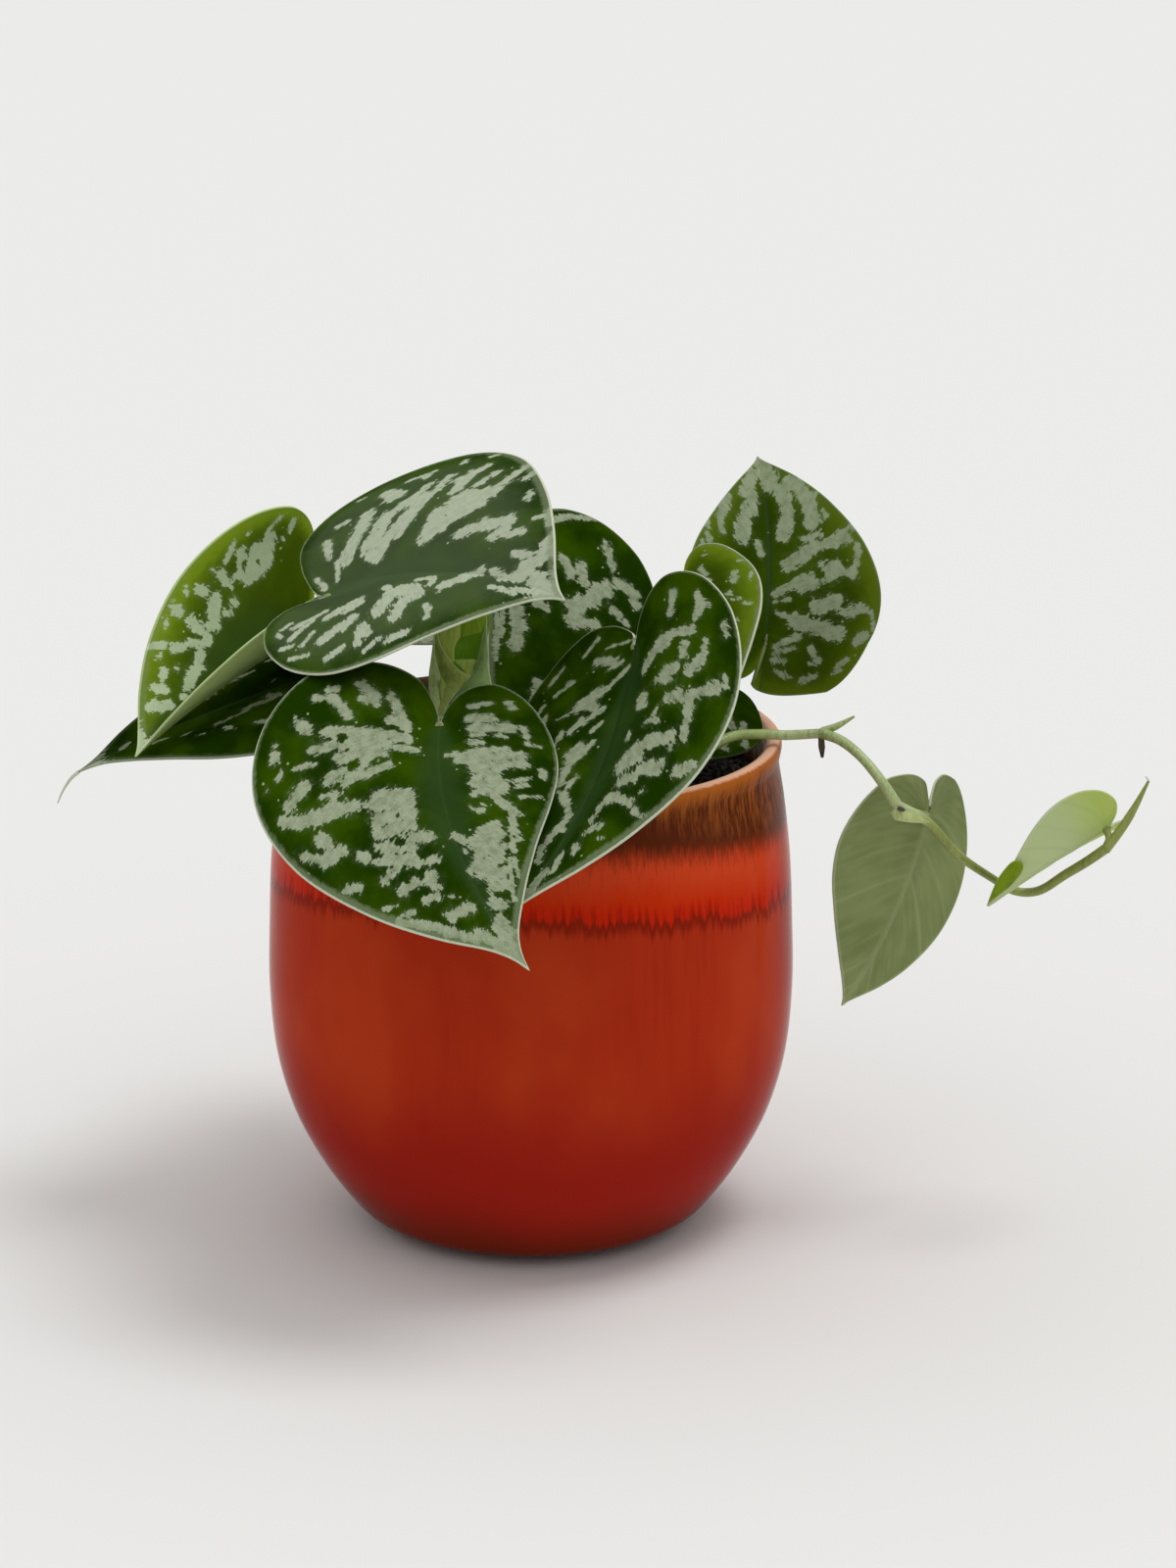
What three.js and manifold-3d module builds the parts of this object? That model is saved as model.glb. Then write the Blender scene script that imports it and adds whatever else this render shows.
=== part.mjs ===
// Satin pothos growing in a round glazed pot.
// Millimetres, +Z up, the origin in the middle of the pot's flat foot.
import * as THREE from 'three';
import Module from 'manifold-3d';

const wasm = await Module();
wasm.setup();

// ---------------------------------------------------------------- driving dimensions

const POT_SIDES = 48;
const POT_FOOT_RADIUS = 35;
const POT_RIM_HEIGHT = 135;
const POT_FLOOR = 9;
// The outer wall from foot to neck, as [radius, height].
const POT_OUTSIDE = [
  [POT_FOOT_RADIUS, 0], [46, 3.8], [52.2, 10.3], [59, 20.5], [65.2, 33.3], [69.3, 48.7],
  [70.8, 66.7], [70.5, 84.6], [69.7, 102.6], [68, 118], [66.4, 127.5],
];
// The rounded lip, from its outer flare over the top to the inner edge.
const POT_LIP = [[67, 130.5], [68, 132.8], [67.6, 134.4], [66, POT_RIM_HEIGHT], [64, 134.5], [62.6, 132.6]];
// The inner wall from under the lip down to the floor.
const POT_INSIDE = [[62.3, 126], [64.4, 88], [63.8, 52], [57, 26], [44, 11]];

const SOIL_SIDES = 32;
const SOIL_TOP = 122;
const SOIL_GAP = 0.6;
const SOIL_RINGS = [50, 38, 26, 14];
const HOLE_SIDES = 12;
const HOLE_GAP = 0.6;
const HOLE_LENGTH = 40;
const STEM_FOOT = 107;

const BLADE_THICKNESS = 0.7;
const LARGE_BLADE = { stations: 16, rows: 4 };
const SMALL_BLADE = { stations: 12, rows: 3 };
const STEM_SIDES = 8;

// Half of the heart-shaped leaf, from the notch where the stalk joins, round the lobe and
// along the edge to the drawn-out tip: [along, across] as shares of the midrib's length.
const HALF_OUTLINE = [
  [0, 0], [-0.085, 0.032], [-0.165, 0.115], [-0.195, 0.235], [-0.125, 0.375], [0.04, 0.475],
  [0.24, 0.495], [0.45, 0.425], [0.65, 0.29], [0.8, 0.165], [0.9, 0.072], [0.96, 0.022], [1, 0],
];

// Each leaf: at is the notch; heading, pitch and roll turn it, in degrees; length is the
// midrib; wide and lobe scale the outline; fold lifts each half, curl rounds it, and bend,
// sweep and twist carry the midrib down, sideways and round. Pairs are [left, right].
const LEAVES = {
  leaf_front: {
    at: [-22.5, -59, 155.5], heading: -94, pitch: -32, roll: 0, length: 77, wide: [0.8, 1.25], lobe: 1,
    fold: [5, 10], curl: [-35, -20], bend: 15, sweep: 40, twist: 10,
  },
  leaf_right_front: {
    at: [26.5, -52, 171.5], heading: -99, pitch: -45, roll: 53, length: 79, wide: [0.95, 1.2], lobe: 0.85,
    fold: [12, 17], curl: [-50, -11], bend: -25, sweep: -20, twist: -25,
  },
  leaf_top: {
    at: [-52.5, -11, 178], heading: -26, pitch: 19, roll: 21, length: 82, wide: [1.25, 0.95], lobe: 0.85,
    fold: [15, 10], curl: [-20, -30], bend: 10, sweep: -35, twist: 10,
  },
  leaf_left: {
    at: [-62, 23.5, 156], heading: -125, pitch: -6, roll: -30, length: 63, wide: [1, 1.3], lobe: 0.85,
    fold: [60, 40], curl: [20, 35], bend: 40, sweep: -5, twist: 15,
  },
  leaf_left_low: {
    at: [-59.5, 3, 149.5], heading: -172, pitch: -16, roll: -9, length: 64, wide: [1, 1], lobe: 1,
    fold: [5, 5], curl: [-20, -45], bend: 10, sweep: 0, twist: 5,
  },
  leaf_back_mid: {
    at: [32.5, 25.5, 157.5], heading: -131, pitch: -12, roll: -38, length: 63, wide: [0.8, 1.4], lobe: 0.9,
    fold: [10, 15], curl: [-10, -5], bend: 30, sweep: 5, twist: -5,
  },
  leaf_small_right: {
    at: [41.5, 6, 173.5], heading: -65, pitch: -32, roll: 32, length: 38, wide: [1, 1], lobe: 1.3,
    fold: [15, 15], curl: [-25, -20], bend: 5, sweep: -5, twist: 5,
  },
  leaf_back_right: {
    at: [63.5, 23, 156.5], heading: 72, pitch: 74, roll: 40, length: 54, wide: [0.9, 1.15], lobe: 1.7,
    fold: [15, 15], curl: [-30, -5], bend: 45, sweep: -5, twist: -25,
  },
  leaf_inner: {
    at: [47.5, 6.5, 143.5], heading: -97, pitch: -21, roll: -35, length: 32, wide: [1.05, 1], lobe: 1.15,
    fold: [15, 10], curl: [-10, -10], bend: 0, sweep: -10, twist: -5,
  },
  leaf_rear_left: {
    at: [-20, 40, 152], heading: 122, pitch: -8, roll: 6, length: 66, wide: [1, 1], lobe: 1,
    fold: [10, 12], curl: [-25, -25], bend: 40, sweep: 10, twist: 5,
  },
  leaf_rear_right: {
    at: [22, 50, 147], heading: 68, pitch: -6, roll: -8, length: 60, wide: [1, 1.05], lobe: 1,
    fold: [12, 10], curl: [-25, -20], bend: 45, sweep: -10, twist: -5,
  },
  vine_leaf_hanging: {
    at: [105.5, -8, 114.5], heading: -133, pitch: -71, roll: 85, length: 56, wide: [1, 1.05], lobe: 1,
    fold: [15, 15], curl: [-10, -15], bend: -10, sweep: 25, twist: 20,
  },
  vine_leaf_young: {
    at: [153, -13.5, 111.5], heading: -176, pitch: -30, roll: 49, length: 37, wide: [1, 1], lobe: 0.85,
    fold: [10, 15], curl: [25, 25], bend: 10, sweep: 5, twist: -10,
  },
};
const SMALL_LEAVES = ['leaf_small_right', 'leaf_inner', 'vine_leaf_young'];

// Each stem: foot is where it stands in the soil, and each strand is a shoot, a stalk, a
// sheath or a root along its points, with the radius at its start, middle and end.
const STEMS = {
  stem_left: {
    foot: [-17, -12],
    footRadius: 3,
    strands: {
      shoot: {
        radii: [3, 2.9, 2.6],
        route: [
          [-17, -12, STEM_FOOT], [-17, -12, 116], [-17, -12, 126], [-20, -15, 136], [-22, -19, 147],
        ],
      },
      sheath_left: {
        radii: [2.2, 3.2, 0.8],
        route: [[-21.5, -18, 142], [-25, -21, 155], [-26.5, -22, 167], [-25, -20, 177]],
      },
      sheath_right: {
        radii: [2.2, 3.4, 0.8],
        route: [[-21.5, -18, 142], [-18, -18, 155], [-13.5, -18, 167], [-11, -18, 177]],
      },
      sheath_back: {
        radii: [2.2, 2.8, 0.8],
        route: [[-21, -17, 142], [-21, -15, 156], [-20, -13, 168], [-19, -12, 178]],
      },
      to_leaf_front: {
        radii: [2, 1.5, 1],
        route: [[-21.5, -18, 143], [-22.5, -35, 149.5], [-22.5, -49, 153.5], [-22.5, -58, 154.2]],
      },
      to_leaf_top: {
        radii: [2, 1.5, 1],
        route: [
          [-20, -15, 135], [-33, -10, 142], [-43, -7, 151], [-50, -8.6, 166], [-52.6, -10.9, 176.8],
        ],
      },
      to_leaf_left_low: {
        radii: [2, 1.5, 1],
        route: [[-19, -14, 133], [-35, -5, 139.5], [-48, 1.5, 145], [-58, 3.2, 148.6]],
      },
      to_leaf_left: {
        radii: [2, 1.4, 1],
        route: [
          [-18, -12, 131], [-30, 2, 139], [-40, 9, 147], [-47, 14, 154.8], [-54, 18.8, 156.4],
          [-60.4, 22.8, 155],
        ],
      },
    },
  },
  stem_right: {
    foot: [23, -8],
    footRadius: 3,
    strands: {
      shoot: {
        radii: [3, 2.8, 2.4],
        route: [[23, -8, STEM_FOOT], [23, -8, 116], [23, -8, 126], [24, -9, 136], [25, -12, 145]],
      },
      to_leaf_right_front: {
        radii: [2, 1.7, 1],
        route: [[24.5, -11, 141], [27, -24, 153], [28, -39, 166], [26.9, -50.2, 170.6]],
      },
      to_leaf_small_right: {
        radii: [2, 1.4, 0.9],
        route: [[24.5, -11, 141], [32, -5, 152], [39, 4, 164], [41.4, 7, 172.3]],
      },
      to_leaf_inner: {
        radii: [1.6, 1.2, 0.9],
        route: [[23.5, -8.5, 129], [30, -9, 131], [40, -3, 134], [46, 3.5, 139.5], [47.2, 6.3, 142]],
      },
    },
  },
  stem_back: {
    foot: [14, 30],
    footRadius: 3,
    strands: {
      shoot: {
        radii: [3, 2.8, 2.4],
        route: [[14, 30, STEM_FOOT], [14, 30, 116], [14, 30, 125], [16, 32, 133], [20, 33, 141]],
      },
      to_leaf_back_mid: {
        radii: [2, 1.5, 1],
        route: [[18, 32.5, 137], [26, 33, 146], [31, 30, 153], [32.5, 26.4, 156.6]],
      },
      to_leaf_back_right: {
        radii: [2, 1.6, 1],
        route: [[17, 32, 135], [36, 33, 143], [54, 33, 150], [61.8, 25, 155.8]],
      },
      to_leaf_rear_left: {
        radii: [2, 1.5, 1],
        route: [[16, 31.5, 133], [4, 34, 141], [-9, 36, 148], [-18.4, 39.1, 150.5]],
      },
      to_leaf_rear_right: {
        radii: [2, 1.5, 1],
        route: [[18, 32.5, 136], [20, 38, 140], [21.4, 44, 143.8], [21.8, 48.6, 145.6]],
      },
    },
  },
  vine_stem: {
    foot: [38, -30],
    footRadius: 1.6,
    strands: {
      to_first_node: {
        radii: [1.6, 1.4, 1.3],
        route: [
          [38, -30, STEM_FOOT], [38, -30, 116], [38, -30, 125], [42, -27, 134], [52, -19.5, 139.3],
          [61, -13, 138.6], [68, -10.5, 137.6], [78.4, -12, 138.6],
        ],
      },
      to_second_node: {
        radii: [1.5, 1.3, 1.5],
        route: [
          [77, -11.6, 138.5], [82.5, -17, 137.7], [87.8, -22, 134.3], [92.9, -26, 128.7],
          [96.9, -27, 122.5],
        ],
      },
      to_third_node: {
        radii: [1.5, 1.1, 1.2],
        route: [
          [96.5, -27, 123.1], [104.3, -25, 118.2], [109.9, -23, 111.6], [114.5, -20, 106.3],
          [122.9, -12, 98.5], [129.5, -8, 93.5], [136.3, -8, 93.5], [143, -11, 99], [148.4, -15, 104],
          [153.3, -17, 108.4],
        ],
      },
      growing_tip: {
        radii: [1.2, 1.4, 0.5],
        route: [[152.6, -17, 107.6], [157, -15.5, 113.2], [160.5, -14, 118.6], [164.1, -13, 125.7]],
      },
      sheath_tip: {
        radii: [1.3, 0.9, 0.5],
        route: [[77.5, -11.6, 138.8], [81.5, -12, 140.6], [85.9, -12, 143.2]],
      },
      aerial_root: {
        radii: [0.9, 0.8, 0.5],
        route: [[77.1, -12, 138.4], [77.3, -12, 135], [77.5, -12, 131.9]],
      },
      to_vine_leaf_hanging: {
        radii: [1.3, 1.1, 0.9],
        route: [[97, -26.8, 122.4], [101, -21, 119.5], [104, -14, 116.8], [105, -10.2, 115.6]],
      },
      to_vine_leaf_young: {
        radii: [1.2, 1, 0.8],
        route: [[152.8, -17, 108], [154.6, -16, 109.6], [154.3, -15, 111]],
      },
    },
  },
};

// ---------------------------------------------------------------- materials

function finish(name, color, roughness) {
  return new THREE.MeshStandardMaterial({ name, color, roughness, metalness: 0 });
}

const glaze = finish('orange_glaze', 0xb43a20, 0.2);
const earth = finish('potting_soil', 0x2a1f18, 0.95);
const foliage = finish('satin_foliage', 0x4a6a3c, 0.45);
const paleFoliage = finish('pale_foliage', 0x8f9f72, 0.5);
const stalk = finish('green_stalk', 0x95a660, 0.5);

// ---------------------------------------------------------------- closed meshes

const MERGE = 1000;

// A geometry whose equal points are merged and whose flat triangles are dropped.
function closedGeometry(points, triangles) {
  const known = new Map();
  const positions = [];
  const merged = points.map((point) => {
    const key = point.map((value) => Math.round(value * MERGE)).join();
    if (!known.has(key)) {
      known.set(key, positions.length / 3);
      positions.push(...point);
    }
    return known.get(key);
  });
  const index = [];
  for (const [a, b, c] of triangles) {
    const corners = [merged[a], merged[b], merged[c]];
    if (new Set(corners).size === 3) index.push(...corners);
  }
  const geometry = new THREE.BufferGeometry();
  geometry.setAttribute('position', new THREE.Float32BufferAttribute(positions, 3));
  geometry.setIndex(index);
  geometry.computeVertexNormals();
  return geometry;
}

// The same closed mesh from one of three.js's own geometries.
function cleaned(geometry) {
  const position = geometry.getAttribute('position');
  const index = geometry.getIndex().array;
  const points = [];
  for (let i = 0; i < position.count; i += 1) {
    points.push([position.getX(i), position.getY(i), position.getZ(i)]);
  }
  const triangles = [];
  for (let i = 0; i < index.length; i += 3) triangles.push([index[i], index[i + 1], index[i + 2]]);
  return closedGeometry(points, triangles);
}

function toSolid(geometry) {
  return new wasm.Manifold(new wasm.Mesh({
    numProp: 3,
    vertProperties: new Float32Array(geometry.getAttribute('position').array),
    triVerts: new Uint32Array(geometry.getIndex().array),
  }));
}

function fromSolid(solid) {
  const mesh = solid.getMesh();
  const points = [];
  for (let i = 0; i < mesh.vertProperties.length; i += mesh.numProp) {
    points.push([mesh.vertProperties[i], mesh.vertProperties[i + 1], mesh.vertProperties[i + 2]]);
  }
  const triangles = [];
  for (let i = 0; i < mesh.triVerts.length; i += 3) {
    triangles.push([mesh.triVerts[i], mesh.triVerts[i + 1], mesh.triVerts[i + 2]]);
  }
  return closedGeometry(points, triangles);
}

// A profile of [radius, height] points, from the axis round to the axis, turned about +Z.
function turned(profile, sides) {
  const lathe = new THREE.LatheGeometry(profile.map(([r, z]) => new THREE.Vector2(r, z)), sides);
  lathe.rotateX(Math.PI / 2);
  return cleaned(lathe);
}

// ---------------------------------------------------------------- pot and soil

function potGeometry() {
  const profile = [[0, 0], ...POT_OUTSIDE, ...POT_LIP, ...POT_INSIDE, [0, POT_FLOOR]];
  return turned(profile, POT_SIDES);
}

// How far the soil stands above or below its level: low heaps and hollows.
function soilRelief(x, y) {
  return 1.1 * Math.sin(x / 8 + 1) * Math.cos(y / 10) + 0.7 * Math.sin((x + y) / 6);
}

function soilGeometry() {
  const wall = POT_INSIDE.map(([r, z]) => [r - SOIL_GAP, z + SOIL_GAP]);
  const [neck, belly] = POT_INSIDE;
  const topRadius = THREE.MathUtils.mapLinear(SOIL_TOP, belly[1], neck[1], belly[0], neck[0]) - SOIL_GAP;
  const side = wall.slice(1).reverse();
  const top = [topRadius, ...SOIL_RINGS].map((r) => [r, SOIL_TOP]);
  const geometry = turned([[0, POT_FLOOR + SOIL_GAP], ...side, ...top, [0, SOIL_TOP]], SOIL_SIDES);
  const position = geometry.getAttribute('position');
  for (let i = 0; i < position.count; i += 1) {
    const x = position.getX(i);
    const y = position.getY(i);
    const atTop = position.getZ(i) > SOIL_TOP - 1;
    if (atTop) position.setZ(i, SOIL_TOP + soilRelief(x, y));
  }
  let soil = toSolid(geometry);
  for (const { foot: [x, y], footRadius } of Object.values(STEMS)) {
    const radius = footRadius + HOLE_GAP;
    const hole = new THREE.CylinderGeometry(radius, radius, HOLE_LENGTH, HOLE_SIDES);
    hole.rotateX(Math.PI / 2);
    hole.translate(x, y, STEM_FOOT - HOLE_GAP + HOLE_LENGTH / 2);
    soil = soil.subtract(toSolid(cleaned(hole)));
  }
  return fromSolid(soil);
}

// ---------------------------------------------------------------- leaf blades

const SPINE_START = -0.4;
const SPINE_STEP = 0.025;
const SPINE_POINTS = Math.round((1 - SPINE_START) / SPINE_STEP) + 1;

// A smooth curve through the half outline, for share from 0 at the notch to 1 at the tip.
const outlineCurve = (() => {
  const pad = (a, b) => [2 * a[0] - b[0], 2 * a[1] - b[1]];
  const last = HALF_OUTLINE.length - 1;
  const padded = [
    pad(HALF_OUTLINE[0], HALF_OUTLINE[1]), ...HALF_OUTLINE, pad(HALF_OUTLINE[last], HALF_OUTLINE[last - 1]),
  ];
  return (share) => {
    const at = share * last;
    const i = Math.min(Math.floor(at), last - 1);
    const t = at - i;
    return [0, 1].map((axis) => {
      const [a, b, c, d] = [0, 1, 2, 3].map((k) => padded[i + k][axis]);
      const square = 2 * a - 5 * b + 4 * c - d;
      const cube = 3 * b - a - 3 * c + d;
      return 0.5 * (2 * b + (c - a) * t + square * t ** 2 + cube * t ** 3);
    });
  };
})();

// The turned frame of a leaf: along its midrib, across to its left, and up from its face.
function leafFrame({ heading, pitch, roll }) {
  const [h, p, r] = [heading, pitch, roll].map(THREE.MathUtils.degToRad);
  const along = new THREE.Vector3(Math.cos(p) * Math.cos(h), Math.cos(p) * Math.sin(h), Math.sin(p));
  const level = new THREE.Vector3(-Math.sin(h), Math.cos(h), 0);
  const across = level.clone().multiplyScalar(Math.cos(r));
  across.addScaledVector(new THREE.Vector3().crossVectors(along, level), Math.sin(r));
  return new THREE.Matrix4().makeBasis(along, across, new THREE.Vector3().crossVectors(along, across));
}

// The blade's middle surface: a function from [along, across] shares to a point.
function bladeSurface(leaf) {
  const bend = THREE.MathUtils.degToRad(leaf.bend);
  const sweep = THREE.MathUtils.degToRad(leaf.sweep);
  const tangentAt = (s) => new THREE.Vector3(
    Math.cos(bend * s) * Math.cos(sweep * s), Math.cos(bend * s) * Math.sin(sweep * s), -Math.sin(bend * s),
  );
  const spine = [new THREE.Vector3()];
  for (let i = 1; i < SPINE_POINTS; i += 1) {
    const s = SPINE_START + i * SPINE_STEP;
    const step = tangentAt(s).add(tangentAt(s - SPINE_STEP)).multiplyScalar(SPINE_STEP / 2);
    spine.push(spine[i - 1].clone().add(step));
  }
  const notch = spine[Math.round(-SPINE_START / SPINE_STEP)].clone();
  const spineAt = (s) => {
    const at = (s - SPINE_START) / SPINE_STEP;
    const i = Math.min(Math.floor(at), SPINE_POINTS - 2);
    return spine[i].clone().lerp(spine[i + 1], at - i).sub(notch);
  };
  const turn = leafFrame(leaf).setPosition(...leaf.at);
  return (along, across) => {
    const side = across < 0 ? 1 : 0;
    const fold = THREE.MathUtils.degToRad(leaf.fold[side]);
    const curl = THREE.MathUtils.degToRad(leaf.curl[side] || 0.01);
    const reach = Math.abs(across) * 2;
    const half = leaf.length / 2;
    const flatAcross = Math.sign(across) * half * (Math.sin(fold + curl * reach) - Math.sin(fold)) / curl;
    const flatUp = half * (Math.cos(fold) - Math.cos(fold + curl * reach)) / curl;
    const twist = THREE.MathUtils.degToRad(leaf.twist) * along;
    const out = flatAcross * Math.cos(twist) - flatUp * Math.sin(twist);
    const up = flatAcross * Math.sin(twist) + flatUp * Math.cos(twist);
    const tangent = tangentAt(along);
    const left = new THREE.Vector3(-Math.sin(sweep * along), Math.cos(sweep * along), 0);
    const normal = new THREE.Vector3().crossVectors(tangent, left);
    const point = spineAt(along).multiplyScalar(leaf.length);
    return point.addScaledVector(left, out).addScaledVector(normal, up).applyMatrix4(turn);
  };
}

// The blade as one closed solid: both faces carry the same triangles, joined at the edge.
function bladeGeometry(leaf, { stations, rows }) {
  const surface = bladeSurface(leaf);
  const points = [];
  const triangles = [];
  for (const side of [1, -1]) {
    const first = points.length;
    for (let i = 0; i <= stations; i += 1) {
      let [along, across] = outlineCurve(i / stations);
      if (along < 0) along *= leaf.lobe;
      across *= side * leaf.wide[side > 0 ? 0 : 1];
      const root = Math.max(along, 0);
      for (let j = 0; j <= rows; j += 1) {
        const share = j / rows;
        points.push(surface(root + (along - root) * share, across * share).toArray());
      }
    }
    for (let i = 1; i < stations; i += 1) {
      for (let j = 0; j < rows; j += 1) {
        const a = first + i * (rows + 1) + j;
        const b = a + rows + 1;
        const quad = side > 0 ? [[a, b, b + 1], [a, b + 1, a + 1]] : [[a, b + 1, b], [a, a + 1, b + 1]];
        triangles.push(...quad);
      }
    }
  }
  return thickened(closedGeometry(points, triangles), BLADE_THICKNESS);
}

// An open sheet given a thickness, half to each side, with a wall along its open edges.
function thickened(sheet, thickness) {
  const position = sheet.getAttribute('position');
  const normal = sheet.getAttribute('normal');
  const index = sheet.getIndex().array;
  const count = position.count;
  const points = [];
  for (const side of [0.5, -0.5]) {
    for (let i = 0; i < count; i += 1) {
      const point = new THREE.Vector3().fromBufferAttribute(position, i);
      const out = new THREE.Vector3().fromBufferAttribute(normal, i);
      points.push(point.addScaledVector(out, side * thickness).toArray());
    }
  }
  const triangles = [];
  const edges = new Set();
  for (let i = 0; i < index.length; i += 3) {
    const [a, b, c] = [index[i], index[i + 1], index[i + 2]];
    triangles.push([a, b, c], [a + count, c + count, b + count]);
    edges.add(`${a},${b}`).add(`${b},${c}`).add(`${c},${a}`);
  }
  for (const edge of edges) {
    const [a, b] = edge.split(',').map(Number);
    if (!edges.has(`${b},${a}`)) triangles.push([b, a, a + count], [b, a + count, b + count]);
  }
  return closedGeometry(points, triangles);
}

// ---------------------------------------------------------------- stems

const STRAND_STEP = 4;

// A round strand along its route, closed at both ends, its radius running through radii.
function strandGeometry({ route, radii }) {
  const points3 = route.map((point) => new THREE.Vector3(...point));
  const curve = new THREE.CatmullRomCurve3(points3, false, 'centripetal');
  const steps = Math.max(3, Math.round(curve.getLength() / STRAND_STEP));
  const frames = curve.computeFrenetFrames(steps, false);
  const points = [];
  const triangles = [];
  for (let i = 0; i <= steps; i += 1) {
    const share = i / steps;
    const [from, middle, to] = radii;
    const radius = share < 0.5
      ? THREE.MathUtils.lerp(from, middle, share * 2)
      : THREE.MathUtils.lerp(middle, to, share * 2 - 1);
    const centre = curve.getPointAt(share);
    for (let k = 0; k < STEM_SIDES; k += 1) {
      const angle = (2 * Math.PI * k) / STEM_SIDES;
      const rim = centre.clone().addScaledVector(frames.normals[i], radius * Math.cos(angle));
      points.push(rim.addScaledVector(frames.binormals[i], radius * Math.sin(angle)).toArray());
    }
  }
  for (let i = 0; i < steps; i += 1) {
    for (let k = 0; k < STEM_SIDES; k += 1) {
      const a = i * STEM_SIDES + k;
      const b = i * STEM_SIDES + ((k + 1) % STEM_SIDES);
      triangles.push([a, b, b + STEM_SIDES], [a, b + STEM_SIDES, a + STEM_SIDES]);
    }
  }
  const end = steps * STEM_SIDES;
  for (let k = 1; k < STEM_SIDES - 1; k += 1) {
    triangles.push([0, k + 1, k], [end, end + k, end + k + 1]);
  }
  return closedGeometry(points, triangles);
}

function stemGeometry({ strands }) {
  const [first, ...others] = Object.values(strands).map((strand) => toSolid(strandGeometry(strand)));
  return fromSolid(others.reduce((whole, strand) => whole.add(strand), first));
}

// ---------------------------------------------------------------- the plant in its pot

const pothos = new THREE.Group();

function add(name, geometry, material) {
  const mesh = new THREE.Mesh(geometry, material);
  mesh.name = name;
  pothos.add(mesh);
}

add('pot', potGeometry(), glaze);
add('soil', soilGeometry(), earth);
for (const [name, stem] of Object.entries(STEMS)) add(name, stemGeometry(stem), stalk);
for (const [name, leaf] of Object.entries(LEAVES)) {
  const detail = SMALL_LEAVES.includes(name) ? SMALL_BLADE : LARGE_BLADE;
  add(name, bladeGeometry(leaf, detail), name.startsWith('vine') ? paleFoliage : foliage);
}

export default pothos;
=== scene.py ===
"""Dresses a satin pothos: its glazed pot, its soil, its stems and its silver-marked leaves."""
import math
from dataclasses import dataclass

import bpy
import numpy as np
from bpy.props import FloatProperty, FloatVectorProperty, IntProperty, PointerProperty
from bpy.types import Operator, Panel, PropertyGroup
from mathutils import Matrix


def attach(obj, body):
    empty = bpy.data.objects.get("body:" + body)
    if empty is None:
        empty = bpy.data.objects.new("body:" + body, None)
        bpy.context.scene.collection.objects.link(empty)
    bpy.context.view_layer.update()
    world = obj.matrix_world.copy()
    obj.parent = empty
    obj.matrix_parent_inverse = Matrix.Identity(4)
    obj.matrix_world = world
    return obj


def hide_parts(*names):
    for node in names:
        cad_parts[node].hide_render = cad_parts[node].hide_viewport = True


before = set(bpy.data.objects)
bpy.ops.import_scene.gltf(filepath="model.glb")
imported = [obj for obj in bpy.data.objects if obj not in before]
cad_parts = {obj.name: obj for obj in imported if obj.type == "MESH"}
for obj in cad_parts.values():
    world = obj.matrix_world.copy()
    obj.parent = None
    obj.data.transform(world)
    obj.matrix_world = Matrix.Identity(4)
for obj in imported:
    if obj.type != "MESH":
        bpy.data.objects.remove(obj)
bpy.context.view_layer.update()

bl_info = {
    "name": "Potted satin pothos",
    "version": (1, 0, 0),
    "blender": (4, 5, 0),
    "location": "View3D > Sidebar > Pothos",
    "description": "Makes the pot, soil, stems and leaves of a potted satin pothos",
    "category": "Add Mesh",
}

MM = 0.001
BODY = "root"


# ------------------------------------------------------------------ the plant's dimensions

# The pot's wall as [radius, height] in millimetres: outside up to the neck, the rolled lip,
# then the inside down to the floor.
POT_FOOT = [(0, 0), (33.5, 0), (35, 0.25)]
POT_OUTSIDE = [
    (35, 0.25), (46, 3.8), (52.2, 10.3), (59, 20.5), (65.2, 33.3), (69.3, 48.7), (70.8, 66.7),
    (70.5, 84.6), (69.7, 102.6), (68, 118), (66.5, 127.5), (66.8, 130.5), (67.2, 132.8),
    (66.7, 134.4), (65.3, 135), (63.8, 134.5), (62.7, 132.6), (62.3, 126), (64.4, 88), (63.8, 52),
    (57, 26), (44, 11),
]
POT_FLOOR = [(44, 11), (30, 9.2), (0, 9)]
RIM_HEIGHT = 135

SOIL_TOP = 122
SOIL_RADIUS = 61.8
SOIL_BOTTOM = 9.6
# The soil's outside as [radius, height], close inside the pot's inner wall.
SOIL_WALL = [
    (0, SOIL_BOTTOM), (43, 11.6), (56.4, 26.6), (63.2, 52.6), (63.8, 88.6), (SOIL_RADIUS, SOIL_TOP),
]

# Half of a leaf's flat outline, from its notch round the lobe to its tip, as shares of the
# midrib's length.
HALF_OUTLINE = np.array([
    (0, 0), (-0.085, 0.032), (-0.165, 0.115), (-0.195, 0.235), (-0.125, 0.375), (0.04, 0.475),
    (0.24, 0.495), (0.45, 0.425), (0.65, 0.29), (0.8, 0.165), (0.9, 0.072), (0.96, 0.022), (1, 0),
])


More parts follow.
